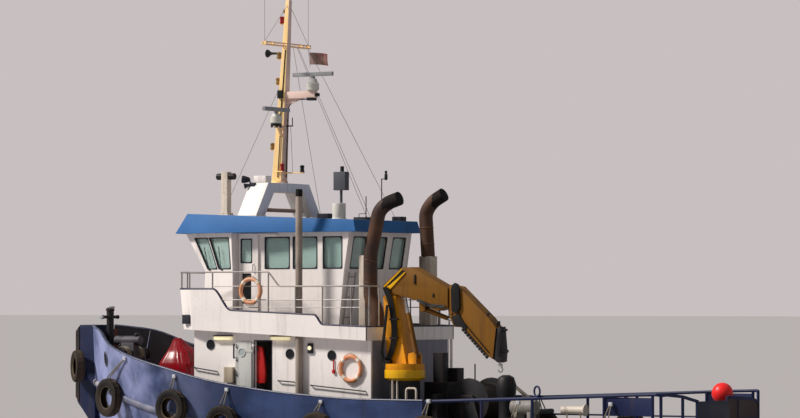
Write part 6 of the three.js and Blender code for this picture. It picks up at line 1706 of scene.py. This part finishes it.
# The knuckle's hoses stand up in a black sleeve, and a toothed track runs under the jib.
jib_gear = [crane_plate(KNUCKLE_SLEEVE, 1.625, 1.7), crane_plate(TRACK_HEAD, 1.625, 1.655)]
for k in range(11):
    reach, z = 1.9 + 0.072 * k, 3.79 - 0.07 * k
    jib_gear.append(crane_plate([(reach + on, z + up) for on, up in TRACK_LINK], 1.6, 1.652))
for y in (1.645, 1.655):
    jib_gear.append(crane_hose([(1.72, 4.3), (1.9, 4.0), (2.3, 3.58), (2.72, 3.16)], y, 0.1, 0.014))
jib_gear.append(block(-4.4, -4.36, 1.6, 1.66, 4.1, 4.2))
head_gear = [
    bar((-4.6, 1.45, 3.86), (-4.6, 1.45, 3.98), 0.04),
    bar((-4.75, 1.3, 3.75), (-4.75, 1.6, 3.75), 0.035),
    bar((-4.76, 1.28, 3.2), (-4.76, 1.62, 3.2), 0.045), block(-4.76, -4.66, 1.59, 1.64, 3.1, 3.7)]
fitted("jib_hoses", "jib", "black_paint", [hose_coat], jib_gear, bevel=0.008)
fitted("jib_head_gear", "jib_extension", "black_paint", [hose_coat], head_gear, bevel=0.008)
fitted("hook_block", "hook", "bright_steel", [radar_coat],
       [block(-4.7, -4.6, 1.41, 1.49, 2.76, 2.88)], bevel=0.02)

# Tow winch, capstan and tank
# Black painted steel winch with its drum, a capstan and a grey fuel tank, all bolted to the after
# deck. The drum holds one layer of dark wire.
tank_coat = coat("tank_grey", (150, 146, 142), (120, 112, 104), fading=0.7, runs=0.6, rust=0.4, sheen=0.5)
wire_coat = coat("winch_wire", (74, 70, 66), (52, 46, 42), fading=0.6, runs=0.0, rust=0.6, metallic=0.4)
refined("winch_frame_plates", "tow_winch_frame", "boat", [black_coat])
refined("winch_drum_steel", "tow_winch_drum", "winch_drum", [dark_metal_coat])
refined("capstan_barrel", "capstan", "capstan_head", [black_coat], bevel=0.012)
refined("tank_shell", "deck_tank", "boat", [tank_coat])
wire_turns = [ring((-3.15, y, 1.85), ACROSS, 0.466, 0.018, 40, 6) for y in spaced(-0.525, 0.525, 30)]
fitted("winch_wire", "winch_drum", "black_paint", [wire_coat], wire_turns)

# Loose gear on the after deck
# Pale pipes to port, a slanting beige plank on its leg, and dark boxes, a bar and a rod abaft the
# tow winch. All are painted and stand on the deck.
HOOP = [(-2.22, 2.2, 1.1), (-2.22, 2.2, 2.22), (-2.53, 2.2, 2.22), (-2.53, 2.2, 1.1)]
PLANK = [(-4.15, 2.3), (-4.68, 1.93), (-4.71, 1.87), (-4.18, 2.24)]
pale_gear = [
    bar((-1.6, 1.9, 1.1), (-1.6, 1.9, 2.46), 0.026, 10),
    bar((-1.74, 1.89, 1.1), (-1.74, 1.89, 2.46), 0.026, 10),
    bent_bar(rounded_path(HOOP, 0.08), 0.03, 10),
    bar((-6.82, 2.0, 1.72), (-7.48, 2.0, 1.72), 0.1, 20),
    disc((-7.5, 2.0, 1.72), (1, 0, 0), 0.15, 0.04),
    bar((-6.95, 2.0, 1.0), (-6.95, 2.0, 1.7), 0.03, 10),
    bar((-7.35, 2.0, 1.0), (-7.35, 2.0, 1.7), 0.03, 10)]
after_gear = [
    bar((-2.43, -0.9, 1.0), (-2.43, -0.9, 2.82), 0.02, 8), block(-4.92, -4.72, 0.2, 0.7, 1.0, 1.9),
    bar((-5.0, 1.1, 1.6), (-5.0, -0.6, 1.6), 0.07, 14), block(-5.1, -4.9, 0.2, 0.4, 1.0, 1.6),
    block(-2.6, -2.45, 1.0, 1.3, 1.0, 2.05)]
on_boat("after_deck_pale_gear", "white_paint", casing_coat, pale_gear)
on_boat("slanting_plank", "grey_paint", beige_coat,
        [plate(PLANK, -0.14, 0.06), bar((-4.45, -0.04, 1.0), (-4.45, -0.04, 2.06), 0.025, 8)], bevel=0.006)
on_boat("after_deck_dark_gear", "black_paint", dark_metal_coat, after_gear, bevel=0.01)

# After rails
# Navy painted tube rails welded round the after deck, with rounded plates across the stern. The
# one to starboard is brown with rust. The after faces of the others are painted a darker navy, which
# is painted shade. A ring on the port rail leads ropes.
STERN_FACE, BROWN_FROM = -9.99, -0.97
navy_painted_shade_coat = coat("navy_stern_plate_painted_shade", (8, 18, 46), (14, 26, 58), runs=0.4, rust=0.3)
brown_plate_coat = coat("brown_stern_plate", (54, 40, 42), (66, 48, 46), fading=0.6, runs=0.5, rust=0.6,
                        sheen=0.6)
after_rail_coat = coat("after_rail_navy", (16, 28, 70), (28, 42, 86), fading=0.4, runs=0.2, rust=0.3,
                       sheen=0.6)


def stern_coat(centre, normal):
    """Brown with rust to starboard on the outer face of the stern plates, a darker navy of painted shade on
    the rest of that face, and the rails' own coat elsewhere.
    """
    if centre.x > STERN_FACE or abs(normal.x) < 0.98:
        return 0
    return 2 if centre.y < BROWN_FROM else 1


refined("aft_rail_tubes", "aft_rails", "boat",
        [after_rail_coat, navy_painted_shade_coat, brown_plate_coat], bevel=0.006, coat_of=stern_coat)
on_boat("rail_ring_chock", "hull_paint", after_rail_coat,
        [ring((-6.52, 2.75, 2.2), (0.5, 1, 0), 0.13, 0.026)])

# Stern buoy
# Red plastic ball moulded in one piece. It is fixed on a short post, which stands on the deck at
# the transom to starboard.
BUOY_X, BUOY_Y, BUOY_BALL = -9.6, -1.48, 0.28
buoy_coat = coat("buoy_red", (246, 34, 38), (248, 70, 66), fading=0.3, runs=0.2, rust=0.0, sheen=0.35)
ball_angles = [math.pi * k / 14 for k in range(15)]
ball_rows = [(BUOY_BALL - BUOY_BALL * math.cos(a), max(BUOY_BALL * math.sin(a), 0.004)) for a in ball_angles]
buoy = on_boat("stern_buoy_ball", "buoy_plastic", buoy_coat,
               [turned_between((BUOY_X, BUOY_Y, 1.83), (BUOY_X, BUOY_Y, 2.39), ball_rows),
                bar((BUOY_X, BUOY_Y, 1.0003), (BUOY_X, BUOY_Y, 1.86), 0.06, 16)])
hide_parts("stern_buoy")

# Under water and inside the hull
# Cast bronze propellers, rudders painted like the bottom, and grey engines on their bed. Their
# plain forms are painted as they are.
bronze_coat = coat("bronze", (150, 104, 50), (110, 100, 70), fading=0.6, runs=0.0, rust=0.0, sheen=0.4,
                   metallic=0.9)
painted(["propeller_port", "propeller_starboard"], bronze_coat)
painted(["rudder_port", "rudder_starboard"], bottom_coat)
painted(["main_engines"], grey_coat)
